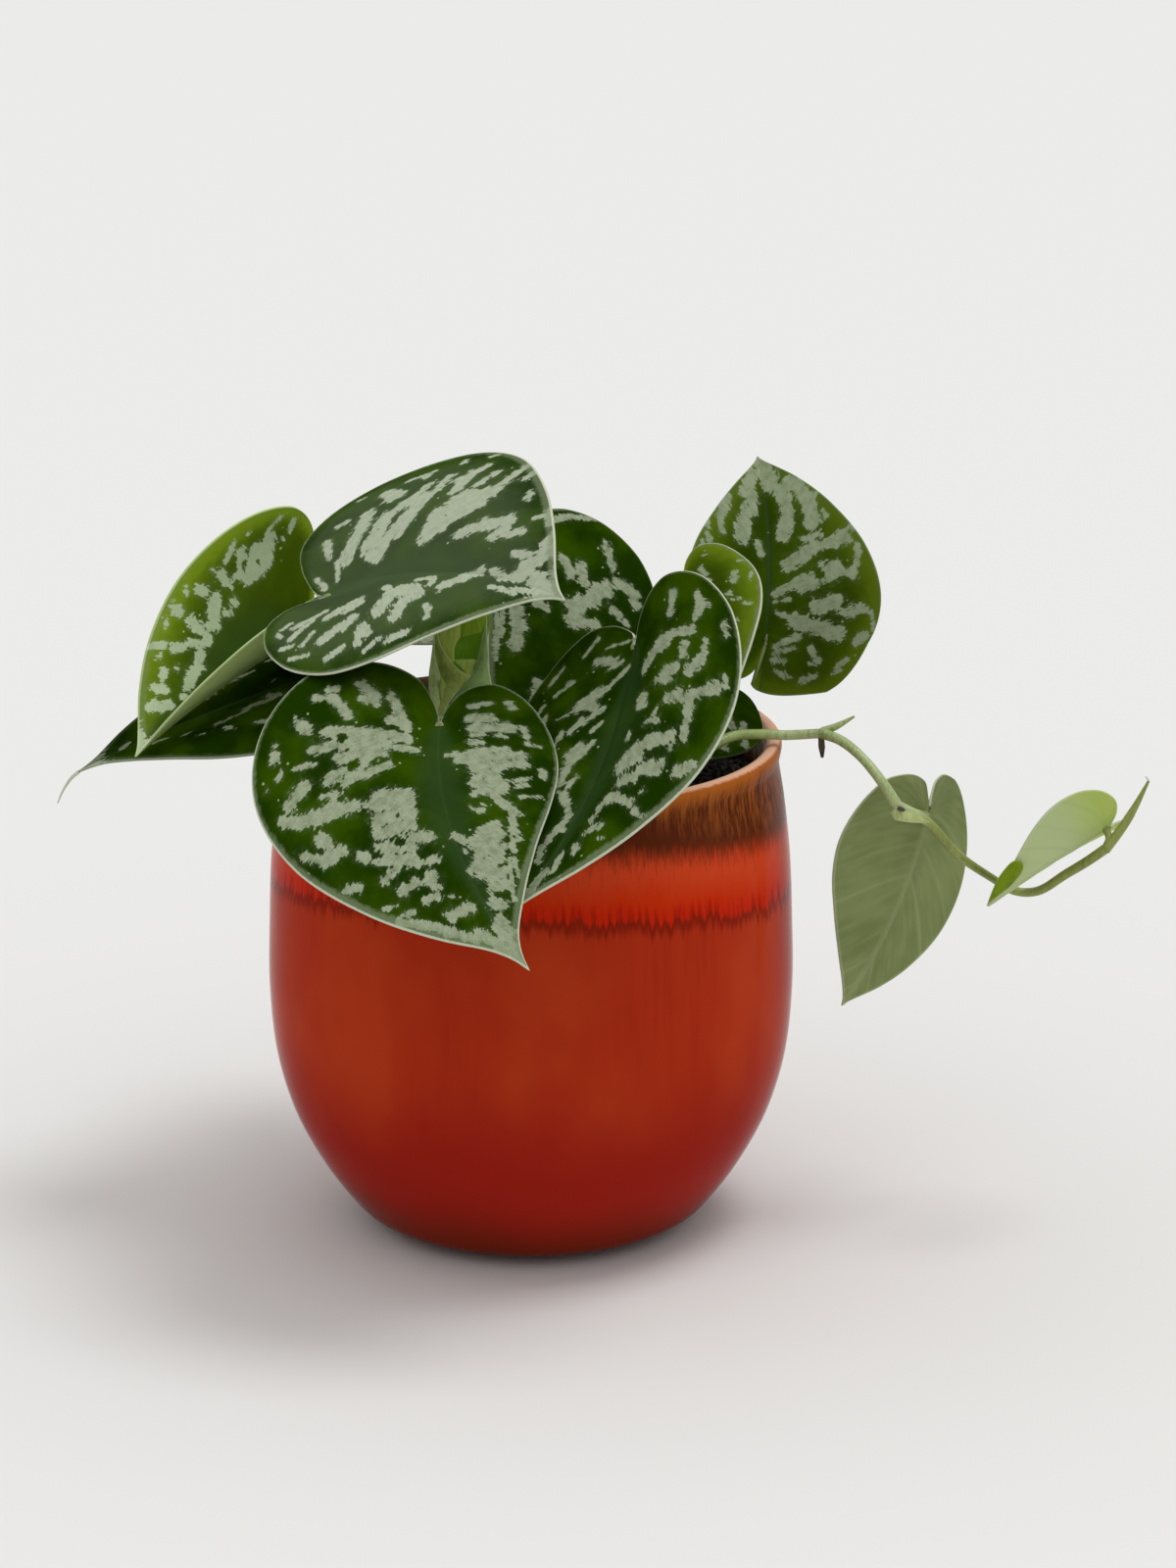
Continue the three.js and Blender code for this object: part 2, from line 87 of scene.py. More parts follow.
@dataclass
class Leaf:
    """One leaf. Pairs are for its left and right half, angles are in degrees.

    at is its notch, and turn its heading, pitch and roll. wide, lobe and drop stretch the outline,
    tip draws out its end, notch moves the notch, and sinus closes the gap between the lobes. fold
    and curl shape it across, bend, sweep and twist along the midrib. zone is how wide the plain
    zone by the midrib is, seed picks the pattern and detail is the fineness of the mesh. The
    others are shares of a look.
    """

    at: tuple
    turn: tuple
    length: float
    wide: tuple
    lobe: float
    fold: tuple
    curl: tuple
    bend: float
    sweep: float
    twist: float
    seed: int
    youth: float = 0.0
    silver: float = 1.0
    zone: tuple = (5.5, 5.5)
    tip: float = 0.0
    notch: tuple = (0, 0)
    # A share of painted grey sheen over the face's green, which also widens the silver patches.
    painted_sheen_and_silver: float = 0.0
    rim: float = 1.0
    # Painted light on each half's underside, as a share of a paler, lit green.
    underlit: tuple = (0.0, 0.0)
    # Painted light and shade: each half's face colour is made brighter or darker by how light falls on it.
    tone: tuple = (1.0, 1.0)
    # A share of painted sheen: paler silver patches, and a paler lit underside.
    pale: float = 0.0
    sinus: tuple = (0.0, 0.0)
    drop: tuple = (1.0, 1.0)
    detail: float = 1.0


LEAVES = {
    "leaf_front": Leaf(
        at=(-22.5, -59, 155.5), turn=(-94, -32, 0), length=77, wide=(0.8, 1.25), lobe=1,
        fold=(5, 10), curl=(-35, -20), bend=15, sweep=40, twist=10, seed=1, tip=3.5, notch=(2.4, 0.3),
        zone=(7, 7), sinus=(0, 0.35), detail=2,
    ),
    "leaf_right_front": Leaf(
        at=(26.5, -52, 171.5), turn=(-99, -45, 53), length=79, wide=(1.04, 1.03), lobe=0.85,
        fold=(12, 17), curl=(-50, -11), bend=-25, sweep=-20, twist=-25, seed=2, zone=(12, 4),
        notch=(-0.5, 2.5), detail=2,
    ),
    "leaf_top": Leaf(
        at=(-52.5, -11, 178), turn=(-26, 19, 21), length=82, wide=(1.25, 0.95), lobe=0.85,
        fold=(15, 10), curl=(-20, -30), bend=10, sweep=-35, twist=10, seed=3, zone=(8, 4.5),
        tip=2.5, notch=(3, -7), painted_sheen_and_silver=0.42, pale=0.35, detail=2,
    ),
    "leaf_left": Leaf(
        at=(-62, 23.5, 156), turn=(-125, -6, -30), length=63, wide=(1, 1.3), lobe=0.85,
        fold=(60, 40), curl=(20, 35), bend=40, sweep=-5, twist=15, seed=4, youth=1.0, zone=(6, 24),
        rim=0.5, underlit=(1, 0.25), tone=(1.4, 1.55), pale=0.35, detail=1.5,
    ),
    "leaf_left_low": Leaf(
        at=(-59.5, 3, 149.5), turn=(-172, -16, -9), length=64, wide=(1, 1.35), lobe=1,
        fold=(5, 5), curl=(-20, -22), bend=10, sweep=0, twist=5, seed=5, zone=(2, 1.5), tip=2,
        rim=0.4, tone=(0.85, 0.5),
    ),
    "leaf_back_mid": Leaf(
        at=(32.5, 25.5, 157.5), turn=(-131, -12, -38), length=63, wide=(0.8, 1.4), lobe=0.9,
        fold=(10, 15), curl=(-10, -5), bend=30, sweep=5, twist=-5, seed=6, zone=(1.5, 1.5),
        detail=1.5,
    ),
    "leaf_small_right": Leaf(
        at=(41.5, 6, 173.5), turn=(-65, -32, 32), length=38, wide=(1, 0.35), lobe=1.3, drop=(1, 0.2),
        fold=(15, 15), curl=(-25, -20), bend=5, sweep=-5, twist=5, seed=7, youth=0.55, tone=(0.95, 0.95),
        zone=(1.5, 1.5), rim=1, detail=1.2,
    ),
    "leaf_back_right": Leaf(
        at=(63.5, 23, 156.5), turn=(72, 74, 40), length=54, wide=(0.9, 1.15), lobe=1.55,
        fold=(15, 15), curl=(-30, -5), bend=45, sweep=-5, twist=-25, seed=8, youth=0.4,
        zone=(2, 2), tone=(0.84, 0.84), rim=0.15, sinus=(0.4, 1.45), drop=(0.75, 1), detail=1.5,
    ),
    "leaf_inner": Leaf(
        at=(47.5, 6.5, 143.5), turn=(-97, -21, -35), length=32, wide=(1.05, 1), lobe=1.15,
        fold=(15, 10), curl=(-10, -10), bend=0, sweep=-10, twist=-5, seed=9, rim=0, tone=(0.6, 0.6),
    ),
    "leaf_rear_left": Leaf(
        at=(-20, 40, 152), turn=(122, -2, 6), length=66, wide=(1, 1), lobe=1,
        fold=(10, 12), curl=(-25, -25), bend=32, sweep=10, twist=5, seed=10, youth=0.1,
    ),
    "leaf_rear_right": Leaf(
        at=(22, 50, 147), turn=(68, -6, -8), length=60, wide=(1, 1.05), lobe=1,
        fold=(12, 10), curl=(-25, -20), bend=45, sweep=-10, twist=-5, seed=11,
    ),
    "vine_leaf_hanging": Leaf(
        at=(105.5, -8, 114.5), turn=(-133, -71, 85), length=56, wide=(1, 1.05), lobe=1,
        fold=(15, 15), curl=(-10, -15), bend=-10, sweep=25, twist=20, seed=12, youth=0.6, sinus=(0.55, 0.55),
    ),
    "vine_leaf_young": Leaf(
        at=(152.8, -13.5, 112.8), turn=(-176, -31, 49), length=37.5, wide=(0.88, 0.76), lobe=0.85,
        fold=(10, 15), curl=(25, 25), bend=10, sweep=5, twist=-10, seed=13, youth=1.0,
        silver=0.3, underlit=(0.75, 0.75), pale=1.0,
    ),
}

# Silver patches, listed as strokes on the flat leaf in millimetres: from x, y to x, y and
# half the stroke's width. x runs from the notch to the tip, y to the leaf's left.
PATCHES = {
    "leaf_front": (
        (-8, -21, -5, -17, 1.9), (-4, -20, -3, -16, 1.4), (-6.5, -29, -6.5, -27, 1.2),
        (-4, -32.5, -4, -30.5, 1.2), (-4, -28, 0.5, -23, 1.6), (-6, -13, -1, -9.5, 1.5),
        (-1, -10, 2.5, -8, 1.7), (1, -13, 2, -8, 1.5), (2.5, -36, 4, -33, 1.6), (0, -37, 1, -36.5, 0.6),
        (5, -28, 6, -8, 1.9), (9, -32, 8, -24, 1.8), (8, -24, 8.5, -14, 2.6), (12, -25, 11, -14, 2),
        (17, -28, 13.5, -19, 1.8), (18, -24, 15, -13, 1.5), (9.5, -10.5, 10, -6, 1.3),
        (9, -41.5, 10, -41.5, 1.5), (6.5, -42, 6.5, -41, 0.6), (12.5, -40, 14.5, -41, 0.9),
        (16, -44, 16.5, -44, 0.8), (13, -36.5, 12.5, -32, 1), (21, -38.5, 17.5, -34, 1.9),
        (21, -30.5, 20.5, -26, 0.8), (22.5, -28.5, 21, -26, 0.6), (19, -23.8, 21, -24.4, 0.6),
        (24.5, -41, 25.5, -36, 1.6), (25.5, -36, 24.5, -22.5, 2.1), (30.5, -32.5, 31.5, -30.8, 1.9),
        (32.5, -38, 35.5, -33.5, 1.3), (36, -33, 34.5, -27.8, 1.7), (43.5, -30, 44, -27, 1.4),
        (22.5, -16, 23.5, -7.5, 1.6), (25, -17, 26, -9, 2.6), (29, -17, 29, -9, 2.5),
        (33, -17.5, 32, -10, 2.2), (36, -10.5, 36.5, -5.5, 1.9), (36.5, -18, 38, -11, 2),
        (37, -24, 40, -18, 1.5), (40, -17, 41.5, -12, 2.2), (44.5, -20, 42, -16, 1.4),
        (43, -10.5, 43, -6, 1.4), (47.5, -8.8, 49.5, -9, 2.3), (48.5, -17, 47.5, -13, 1.8),
        (51, -23, 51, -20, 0.7), (54, -20, 54, -17, 0.9), (53, -12.5, 52.5, -9.5, 1.3),
        (53.5, -7.5, 54.5, -6, 0.7), (59, -9, 58.5, -3.5, 1.8), (55, -21, 61, -12, 1.3),
        (61, -13, 67, -6, 1.6), (66, -5, 73, -1, 1.9), (-6, 7, -7.5, 13, 1), (-7, 18, -8.5, 17, 1.4),
        (-2, 8, -1.5, 13, 1.9), (1.5, 9, 2, 18.5, 2.2), (4, 9, 4.5, 11, 1.6), (5, 15.5, 5.5, 17, 1.3),
        (7.5, 8, 8, 11, 1.2), (1, 21.5, 5, 23, 1.3), (8, 22.5, 8.5, 26, 1), (11.5, 2.5, 12, 8, 1.2),
        (11, 8, 11, 17, 1.5), (14, 6, 13.5, 21, 2.2), (17, 9, 17, 21, 2.2), (19, 9, 20.5, 14, 2.1),
        (23, 9, 24, 15, 2.3), (26, 10.5, 27, 15, 1.9), (27, 7.5, 25.5, 11, 1), (29, 13, 36, 17, 1.7),
        (36, 15.5, 45, 15, 1.2), (23.5, 18, 23, 22, 1), (26, 18.5, 25.5, 21.5, 0.9),
        (19.5, 26, 22.5, 26, 1.3), (30, 19, 30.5, 24, 0.9), (31, 6, 33, 9, 1), (30.5, 9, 31.5, 11, 0.6),
        (38, 0.3, 40.5, 2.2, 1.3), (42.5, 1.2, 44.5, 2, 0.6), (39, 7, 38.5, 11, 1.8), (42, 5, 42, 11, 2.4),
        (45, 5, 46, 9.5, 2.4), (49, 2.5, 49, 8, 2.3), (52, 4, 53, 8, 2.3), (56, 4, 57, 7.5, 2),
        (60, 2, 62, 4, 2), (64, 2, 68, 2, 1.5), (42, 14, 56, 11, 0.9), (50, 11, 62, 7, 0.8),
        (66, 0.5, 77, 0, 2.4),
    ),
    "leaf_right_front": (
        (-7, 20.5, -3, 19.5, 1.8), (-4.5, 28.5, -2.5, 30, 1.2), (-2, 29.5, 0.5, 28, 1.6),
        (-2, 31.8, -1, 31.8, 0.7), (3.5, 35.8, 5.5, 36.5, 1.2), (9, 9.5, 3.5, 16, 1.9),
        (3, 16, 3.5, 27, 1.4), (6.5, 12.5, 5, 18, 1.9), (7, 24.5, 9, 24.5, 1.7), (12.5, 18.5, 12, 22, 2),
        (14, 15, 14.5, 21, 1.3), (13.5, 26.5, 11, 30, 1.8), (11, 30.5, 7, 30.5, 1.1),
        (19, 20.5, 19, 25, 1.6), (20, 26, 17.5, 35, 1.7), (20, 27.8, 29, 28, 1.6),
        (15.5, 37, 17.5, 37.5, 0.8), (17.5, 11, 19.5, 11.5, 2.1), (21, 17.5, 25, 16.5, 0.8),
        (25, 14.5, 24.5, 19, 1.1), (26.5, 8.8, 28.5, 9.2, 1), (31, 15, 29, 24, 2), (33, 11, 30, 18, 2.3),
        (36, 10, 33, 15, 2.3), (32, 24.5, 30.5, 25.5, 1.1), (40.5, 11.5, 39, 17, 1.8),
        (37, 18.5, 36.5, 23, 2.3), (37, 28.5, 35.5, 32, 1.7), (42.5, 20.5, 42.5, 21, 0.8),
        (51, 7.5, 45, 9.5, 1.4), (45, 9.5, 44, 12.5, 1.6), (44, 12, 46, 19, 1.3),
        (47.5, 20.5, 48, 21.5, 1.2), (48, 23.5, 48, 24, 0.8), (52, 11.5, 54.5, 7.5, 1.3),
        (55.5, 13, 55.5, 15, 0.5), (58.5, 7, 59.5, 7.5, 1.6), (61, 3, 66, 3.5, 1.3), (66, 1, 76, 0, 1.8),
        (-4, -10, -3, -2, 0.6), (-1, -13, 1.5, -7.5, 1.6), (3.5, -8.5, 2.5, -5, 1), (5, -2, 11, -8.5, 1.1),
        (10, -9.5, 14, -16, 1.9), (15, -9, 13, -15, 1.8), (15.5, -18, 16.5, -22, 0.7),
        (16, -6, 20, -11, 1.2), (19, -12, 22, -14.5, 1.7), (20.5, -5, 23.5, -7.5, 0.9),
        (22, -18, 26, -18, 1.4), (27, -5.5, 33, -9, 1.3), (30, -10, 40, -10.5, 1.9),
        (27.5, -9, 31, -12, 1.7), (37.5, -6, 40.5, -7.5, 1), (43, -8, 48, -3.5, 1.4),
        (49, -2.5, 58, -4.5, 1.4), (52, -3.5, 54, -1.5, 0.9), (60, -5, 64, -3, 1.3), (-9, -14, -5, -18, 1.1),
        (3, -21, 6, -26, 1.4), (9, -30, 13, -32, 1.3), (-4, -26, 0, -30, 1.2), (14, -27, 19, -27, 1.3),
    ),
    "leaf_top": (
        (-6.5, 20.5, -4, 14.5, 1.2), (-5, 27, -3, 28, 1.1), (-6, 7.5, -2.5, 4, 0.8), (-1, 11.5, 0, 7, 0.7),
        (1.5, 12.5, 3, 22, 2.1), (3, 22, 2.5, 29, 2), (9, 11, 12.5, 8.5, 1.5), (9, 14, 9.5, 24, 2.6),
        (7, 12, 6.5, 16, 1), (10.5, 25, 14, 30, 1.6), (4, 38, 9, 34, 1.9), (6.5, 33.5, 8, 32.5, 1.3),
        (-3.5, 39.3, -2.5, 39.6, 0.7), (8, 42.5, 14, 44.5, 0.8), (13, 43.5, 13, 41, 0.9),
        (12, 10, 18, 30, 1.8), (16.5, 15, 20, 33, 1), (20, 32, 21, 38.5, 1.2), (15, 28, 16.5, 36, 1.1),
        (26, 12, 26, 21, 2.3), (26, 21, 31, 28, 2.7), (30, 24, 38, 28.5, 2.5), (31, 20, 36, 24, 2.5),
        (29, 15, 30, 19, 1.8), (38, 29.5, 42, 38, 1.3), (26, 30, 27, 38, 1.7), (24, 35, 30, 41, 1),
        (31, 31, 35, 37, 1), (37, 12.5, 42, 16, 2), (42, 15, 49, 18, 2), (48, 12, 50, 16, 1.8),
        (52, 12.5, 56, 14.5, 1.3), (57.5, 19, 60, 21, 0.9), (44.5, 33.5, 46, 35, 1.1),
        (50, 27.5, 50.5, 25.5, 1.2), (21, 46.5, 21.5, 45, 0.8), (28, 45.5, 30, 46, 0.7),
        (58, 7.5, 64, 8, 1.1), (64, 3, 70, 12, 2.6), (66, 12, 68, 17, 1.6), (60, 22, 63, 18, 1.2),
        (70, 2, 78, 1, 2.6), (54.5, 1.5, 58, 1, 1.1), (59, -0.5, 66, 1.5, 1.1), (51, 1, 46, -1.5, 1.5),
        (47, -2.5, 42.5, -6.5, 1.9), (31.5, -4, 36, -3, 0.9), (36.5, -3, 38, -6, 1.1),
        (27, -17, 27, -10, 2.6), (28, -8, 33, -8, 2.4), (33, -9, 34, -19, 2.1), (36, -9, 37, -11, 1.6),
        (22.5, -6.5, 25, -8, 1.2), (42.5, -14, 46, -18, 1), (16, -11, 9, -18, 1.7), (18, -13, 14.5, -17, 1),
        (6, -14, -3, -20, 1.2), (3, -18, -2, -25, 1.2), (-5, -17, -7, -19, 0.8), (-8, -21, -6, -23, 0.8),
        (19, -19.5, 17.5, -23, 1.7), (17, -22, 11, -27.5, 1.8), (24, -23, 28, -25, 1.5),
        (24, -25, 26, -29, 1.3), (42, -23.5, 37, -27, 1.3), (16, -34, 21, -30.5, 1.1), (1, -33, 8, -32, 0.7),
        (-4, -28.5, 0, -28, 0.8), (58, -4, 68, -4, 0.8), (6, -24, 4, -28, 1), (66, -3, 76, -1, 1.1),
        (33, -27, 30, -31, 0.9),
    ),
    "leaf_left": (
        (-1, -33, -0.5, -30.5, 1.1), (2, -29.5, 1, -27.5, 0.5), (3.5, -36, 7, -32.5, 1),
        (6, -30, 7, -23, 2.4), (10, -29, 12, -22, 2.7), (13.5, -31, 15, -24, 1.7), (8, -21, 12, -21.5, 1.3),
        (16, -35, 18.5, -29.5, 1.1), (12, -35.7, 12.5, -35, 0.8), (20.5, -27.5, 19, -24, 1.7),
        (22, -30.5, 22.5, -30, 0.7), (18.5, -18.5, 18, -17, 1.4), (18, -22.2, 18, -21.6, 0.7),
        (27, -27, 25, -24.5, 1.5), (29.5, -29.5, 30, -27.5, 1), (23.5, -21.5, 25, -17, 2.4),
        (22, -16.5, 20, -15, 1.3), (34, -27, 32.5, -23, 1.4), (31, -20, 30, -16, 1.8),
        (28, -16, 25, -13.5, 1.2), (28.5, -14, 29, -11.5, 1.2), (37, -24, 37.5, -22.5, 1),
        (43, -20.5, 40, -18.5, 1.2), (38, -16.5, 36, -15, 1.6), (34, -14.5, 30, -12, 1.6),
        (42.5, -17, 42, -16.5, 1), (33, -10.5, 35, -7.5, 1.9), (37, -7.5, 40, -5.5, 2),
        (43, -13, 44.5, -11.5, 1.2), (40, -11.5, 40, -11, 0.9), (47.5, -10.5, 46, -8.5, 1.6),
        (43.5, -4, 42, -3, 0.8), (51, -7, 47.5, -4.5, 1.9),
    ),
    "leaf_left_low": (
        (18, 7, 12, 6.5, 1.4), (11, 3.5, 9, 5.5, 1.8), (27, 10.5, 22, 9.5, 1.2), (20.5, 9.5, 17.5, 9, 0.5),
        (24.5, 14.5, 23, 16.5, 1.2), (37, 9.5, 34, 9, 0.7), (33, 13, 30, 13.5, 0.6), (53, -0.5, 51, -1.8, 1),
        (10, -4, 8, -5, 0.6), (44, 6, 40, 7, 0.7), (16, 17, 13, 18, 1.3), (8, 12, 5, 15, 1.4),
        (30, -9, 25, -10, 1.2), (20, -14, 14, -16, 1.5), (38, -7, 34, -8, 0.9), (9, -20, 3, -21, 1.4),
        (24, -20, 19, -22, 1.3), (0, 20, -3, 22, 1.2), (6, 24, 2, 26, 1.2),
    ),
    "leaf_back_mid": (
        (-4, -26, -1, -19.5, 1.4), (0.5, -15.5, -2, -10, 1.9), (-1.5, -12, 0, -7, 1.7),
        (10.5, -28.5, 11.5, -24, 1.8), (7, -25, 9.5, -21, 1.8), (5, -15.5, 9, -16, 2.9),
        (10, -15, 17, -17, 2.6), (17, -14, 20, -14, 2.3), (20, -13, 15, -9, 1.9), (7.5, -9.5, 7, -7.5, 1.6),
        (6.5, -4.8, 6.5, -4.2, 1.1), (30, -26, 34, -21, 2.2), (33, -21, 38, -18, 2.1),
        (25, -23.5, 24, -21, 1.7), (36, -27, 44, -19, 1), (33, -28, 39, -22, 0.7), (40, -6, 43, -3, 2.1),
        (-8, -33, 2, -38.5, 1), (2, -38, 9, -41, 1.2), (14, -38, 20, -36, 2), (22, -32, 27, -28, 1.5),
        (10, 8, 14, 12, 1.6), (18, 6, 24, 10, 1.8), (30, 5, 36, 8, 1.7), (4, 16, 8, 19, 1.4),
    ),
    "leaf_inner": (
        (2, 4, 9, 8, 1.6), (10, 3, 18, 7, 1.8), (6, 11, 14, 13, 1.3), (19, 2, 25, 4, 1.5),
        (1, -4, 8, -8, 1.7), (9, -3, 17, -7, 2), (5, -11, 13, -13, 1.4), (18, -2, 24, -4, 1.5),
    ),
    "leaf_small_right": (
        (-2.5, 6, 0, 6.5, 1), (2, 6.5, 4.5, 6, 0.9), (-6, 8, -5.5, 9.5, 0.4), (3.5, 13.5, 6, 12.5, 1.2),
        (8, 16, 6, 17.5, 0.5), (8.5, 8.5, 9, 10, 0.8), (11, 9.5, 12, 12, 0.5), (1, 16, 2, 17.5, 0.6),
        (14, 12, 15, 14, 0.6), (17, 8, 18, 9, 0.6), (5, -7, 8, -8, 0.9), (12, -6, 15, -7, 0.8),
        (20, 4, 22, 5, 0.6),
    ),
    "leaf_back_right": (
        (11, -1.8, 15, -9, 1.3), (9, -2.2, 10, -6, 0.8), (6, -2.4, 4, -9, 0.9), (4, -8, 2, -19.5, 2.5),
        (8, -13.5, 10, -18.5, 2.5), (14, -10, 18, -17.5, 2.9), (19, -5.2, 22, -10, 2.3),
        (23, -11, 26, -21, 1.9), (18, -19.5, 17, -23, 1.8), (-3, -3, 0, -9, 1), (-5, -2.5, -3, -8, 0.9),
        (-7, -2.5, -7, -6, 1), (-3, -13, -6, -15, 1.3), (-7, -13, -7, -14.5, 0.7), (7, -21.5, 9, -26, 1.6),
        (0, -25, 2, -27, 1.5), (8, -28.5, 3, -29.5, 0.7), (-6.5, -21, -5, -23, 1.1),
        (-9, -20, -7.5, -22.5, 0.6), (-10, -4, -11, -8, 0.9), (-12, -11, -10, -15, 1.1),
        (20, -24, 24, -24, 1.2), (27, -20, 29, -24, 1.4), (27, -4.2, 33, -6, 2.2), (33, -6, 38, -5.5, 2.3),
        (30, -12, 37, -12, 2.6), (35, -12, 42, -9, 2.3), (40, -4, 43, -8, 2), (43, -2, 50, -1, 3),
        (32, -16, 34, -15, 1), (26, -9, 27, -14, 1.1), (22, 2.6, 24, 3.5, 1.5), (26, 8, 34, 6, 2.4),
        (34, 4.5, 40, 3.5, 2), (33, 13, 38, 11, 2), (27, 13, 33, 14, 1.1), (40, 6, 47, 2, 2.2),
        (24, 17, 32, 18, 1), (20, 20, 24, 19, 0.8), (10, 5, 14, 10, 1.4), (4, 8, 8, 14, 1.5),
        (-4, 6, 0, 12, 1.4),
    ),
}

# Small bare places inside the patches, in the same millimetres: x, y and radius.
BARE = {
    "leaf_front": (
        (14.2, -21.5, 1.5), (36, -13, 1.2), (38, -20.5, 0.9), (17.5, 7, 0.8), (29, -12, 0.4),
        (6.5, -24.5, 1.1), (15.5, 14, 0.5),
    ),
    "leaf_right_front": ((33, 17, 0.5), (11.5, 25, 0.6), (34.5, 17.5, 0.4)),
    "leaf_top": ((30, -16, 1.1), (27, 24, 0.5), (9, 19, 0.5)),
    "leaf_left": ((13.5, -26.5, 0.9), (9.5, -25.5, 0.7)),
    "leaf_back_right": ((17, -13.5, 1.4), (5.5, -12.5, 0.8), (22, -16, 1.2), (20, -21, 1.2)),
}


# The strands of each stem, as in the CAD: radii at the start, middle and end, then points.
STEMS = {
    "stem_left": {
        "shoot": ((3, 2.9, 2.6), (
            (-17, -12, 107), (-17, -12, 116), (-17, -12, 126), (-20, -15, 136), (-22, -19, 147),
        )),
        "to_leaf_front": ((2, 1.5, 1.2), (
            (-21.5, -18, 143), (-22.5, -35, 149.5), (-22.5, -49, 153.5), (-22.5, -59, 155.3),
        )),
        "to_leaf_top": ((2, 1.5, 1.2), (
            (-20, -15, 135), (-33, -10, 142), (-43, -7, 151), (-50, -8.6, 166), (-52.5, -11, 178),
        )),
        "to_leaf_left_low": ((2, 1.5, 1.2), (
            (-19, -14, 133), (-35, -5, 139.5), (-48, 1.5, 145), (-59.3, 3, 149.4),
        )),
        "to_leaf_left": ((2, 1.4, 1.2), (
            (-18, -12, 131), (-30, 2, 139), (-40, 9, 147), (-47, 14, 154.8), (-54, 18.8, 156.4),
            (-61.6, 23.3, 156),
        )),
    },
    "stem_right": {
        "shoot": ((3, 2.8, 2.4), (
            (23, -8, 107), (23, -8, 116), (23, -8, 126), (24, -9, 136), (25, -12, 145),
        )),
        "to_leaf_right_front": ((2, 1.7, 1.2), (
            (24.5, -11, 141), (27, -24, 153), (28, -39, 166), (26.7, -51.6, 171.4),
        )),
        "to_leaf_small_right": ((2, 1.4, 1), (
            (24.5, -11, 141), (32, -5, 152), (39, 4, 164), (41.5, 6.2, 173.2),
        )),
        "to_leaf_inner": ((1.6, 1.2, 1), (
            (23.5, -8.5, 129), (30, -9, 131), (40, -3, 134), (46, 3.5, 139.5), (47.5, 6.4, 143.2),
        )),
    },
    "stem_back": {
        "shoot": ((3, 2.8, 2.4), (
            (14, 30, 107), (14, 30, 116), (14, 30, 125), (16, 32, 133), (20, 33, 141),
        )),
        "to_leaf_back_mid": ((2, 1.5, 1.2), (
            (18, 32.5, 137), (26, 33, 146), (31, 30, 153), (32.5, 25.8, 157.3),
        )),
        "to_leaf_back_right": ((2, 1.6, 1.2), (
            (17, 32, 135), (36, 33, 143), (54, 33, 150), (63.2, 24.7, 155.9),
        )),
        "to_leaf_rear_left": ((2, 1.5, 1.2), (
            (16, 31.5, 133), (4, 34, 141), (-9, 36, 148), (-19.7, 39.7, 151.8),
        )),
        "to_leaf_rear_right": ((2, 1.5, 1.2), (
            (18, 32.5, 136), (20, 38, 140), (21.4, 44, 143.8), (22, 49.7, 146.8),
        )),
    },
    "vine_stem": {
        "to_first_node": ((1.6, 1.4, 1.3), (
            (38, -30, 107), (38, -30, 116), (38, -30, 125), (42, -27, 134), (52, -19.5, 139.3),
            (61, -13, 138.6), (68, -10.5, 137.6), (78.4, -12, 138.6),
        )),
        "to_second_node": ((1.5, 1.3, 1.5), (
            (77, -11.6, 138.5), (82.5, -17, 137.7), (87.8, -22, 134.3), (92.9, -26, 128.7),
            (96.9, -27, 122.5),
        )),
        "to_third_node": ((1.5, 1.15, 1.45), (
            (96.5, -27, 123.1), (104.3, -25, 118.2), (109.9, -23, 111.6), (114.5, -20, 106.3),
            (122.9, -12, 98.5), (129.5, -8, 93.5), (136.3, -8, 93.5), (143, -11, 99),
            (148.4, -15, 104), (153.3, -17, 108.4),
        )),
        "growing_tip": ((1.4, 1.2, 0.35), (
            (152.6, -17, 107.6), (157, -15.5, 113.2), (160.5, -14, 118.6), (164.1, -13, 125.7),
        )),
        "sheath_tip": ((1.3, 0.9, 0.3), (
            (77.5, -11.6, 138.8), (81.5, -12, 140.6), (85.9, -12, 143.2),
        )),
        "to_vine_leaf_hanging": ((1.3, 1.1, 1), (
            (97, -26.8, 122.4), (101, -21, 119.5), (104, -14, 116.8), (105.4, -8.4, 114.8),
        )),
        "to_vine_leaf_young": ((1.2, 1, 1), (
            (152.8, -17, 108), (153.8, -15.8, 110.6), (153, -13.8, 112.7),
        )),
    },
}
BROWN_PARTS = {
    "root": ((0.8, 0.9, 0.4), ((77.1, -12, 137.6), (77.3, -12, 135), (77.5, -12, 131.9))),
    "scar": ((0.3, 0.7, 0.3), ((96.6, -28.9, 123), (97.5, -29.1, 122.7), (98.5, -28.9, 122.4))),
}
# The young leaf's rolled tip, as shares of its length: along it, then to its upper and lower edge.
ROLLED_TIP = (
    (1.01, 0.008, -0.002), (0.95, 0.095, 0.01), (0.9, 0.15, 0.012), (0.86, 0.185, 0.014),
    (0.8, 0.22, 0.02), (0.72, 0.245, 0.055), (0.67, 0.235, 0.09), (0.645, 0.2, 0.13),
)
# How far those two edges stand out to the front, in millimetres, then the bulge and the pale rim.
ROLLED_TIP_OUT = (1.4, 2.4)
ROLLED_TIP_BULGE = 1.0
ROLLED_TIP_RIM = 0.8
# Dry, pale hairs at the ends of the rolled leaf and of the growing tip, and one at the tip of a
# leaf, from which it is measured.
HAIRS = {
    "leaf_end": ((0.55, 0.35, 0.15), ((0, 0, 0), (-2.2, 0.3, -2), (-4.4, 0.5, -5.4), (-6, 0.6, -9))),
    "hook": ((0.3, 0.25, 0.15), (
        (-17.4, -15.9, 169.2), (-17.9, -16, 167.9), (-17.1, -16.1, 166.6), (-15.6, -16, 166.9),
    )),
    "tip": ((0.4, 0.3, 0.15), ((163.5, -13.1, 124), (164, -13, 125.8), (163.2, -13, 127))),
}


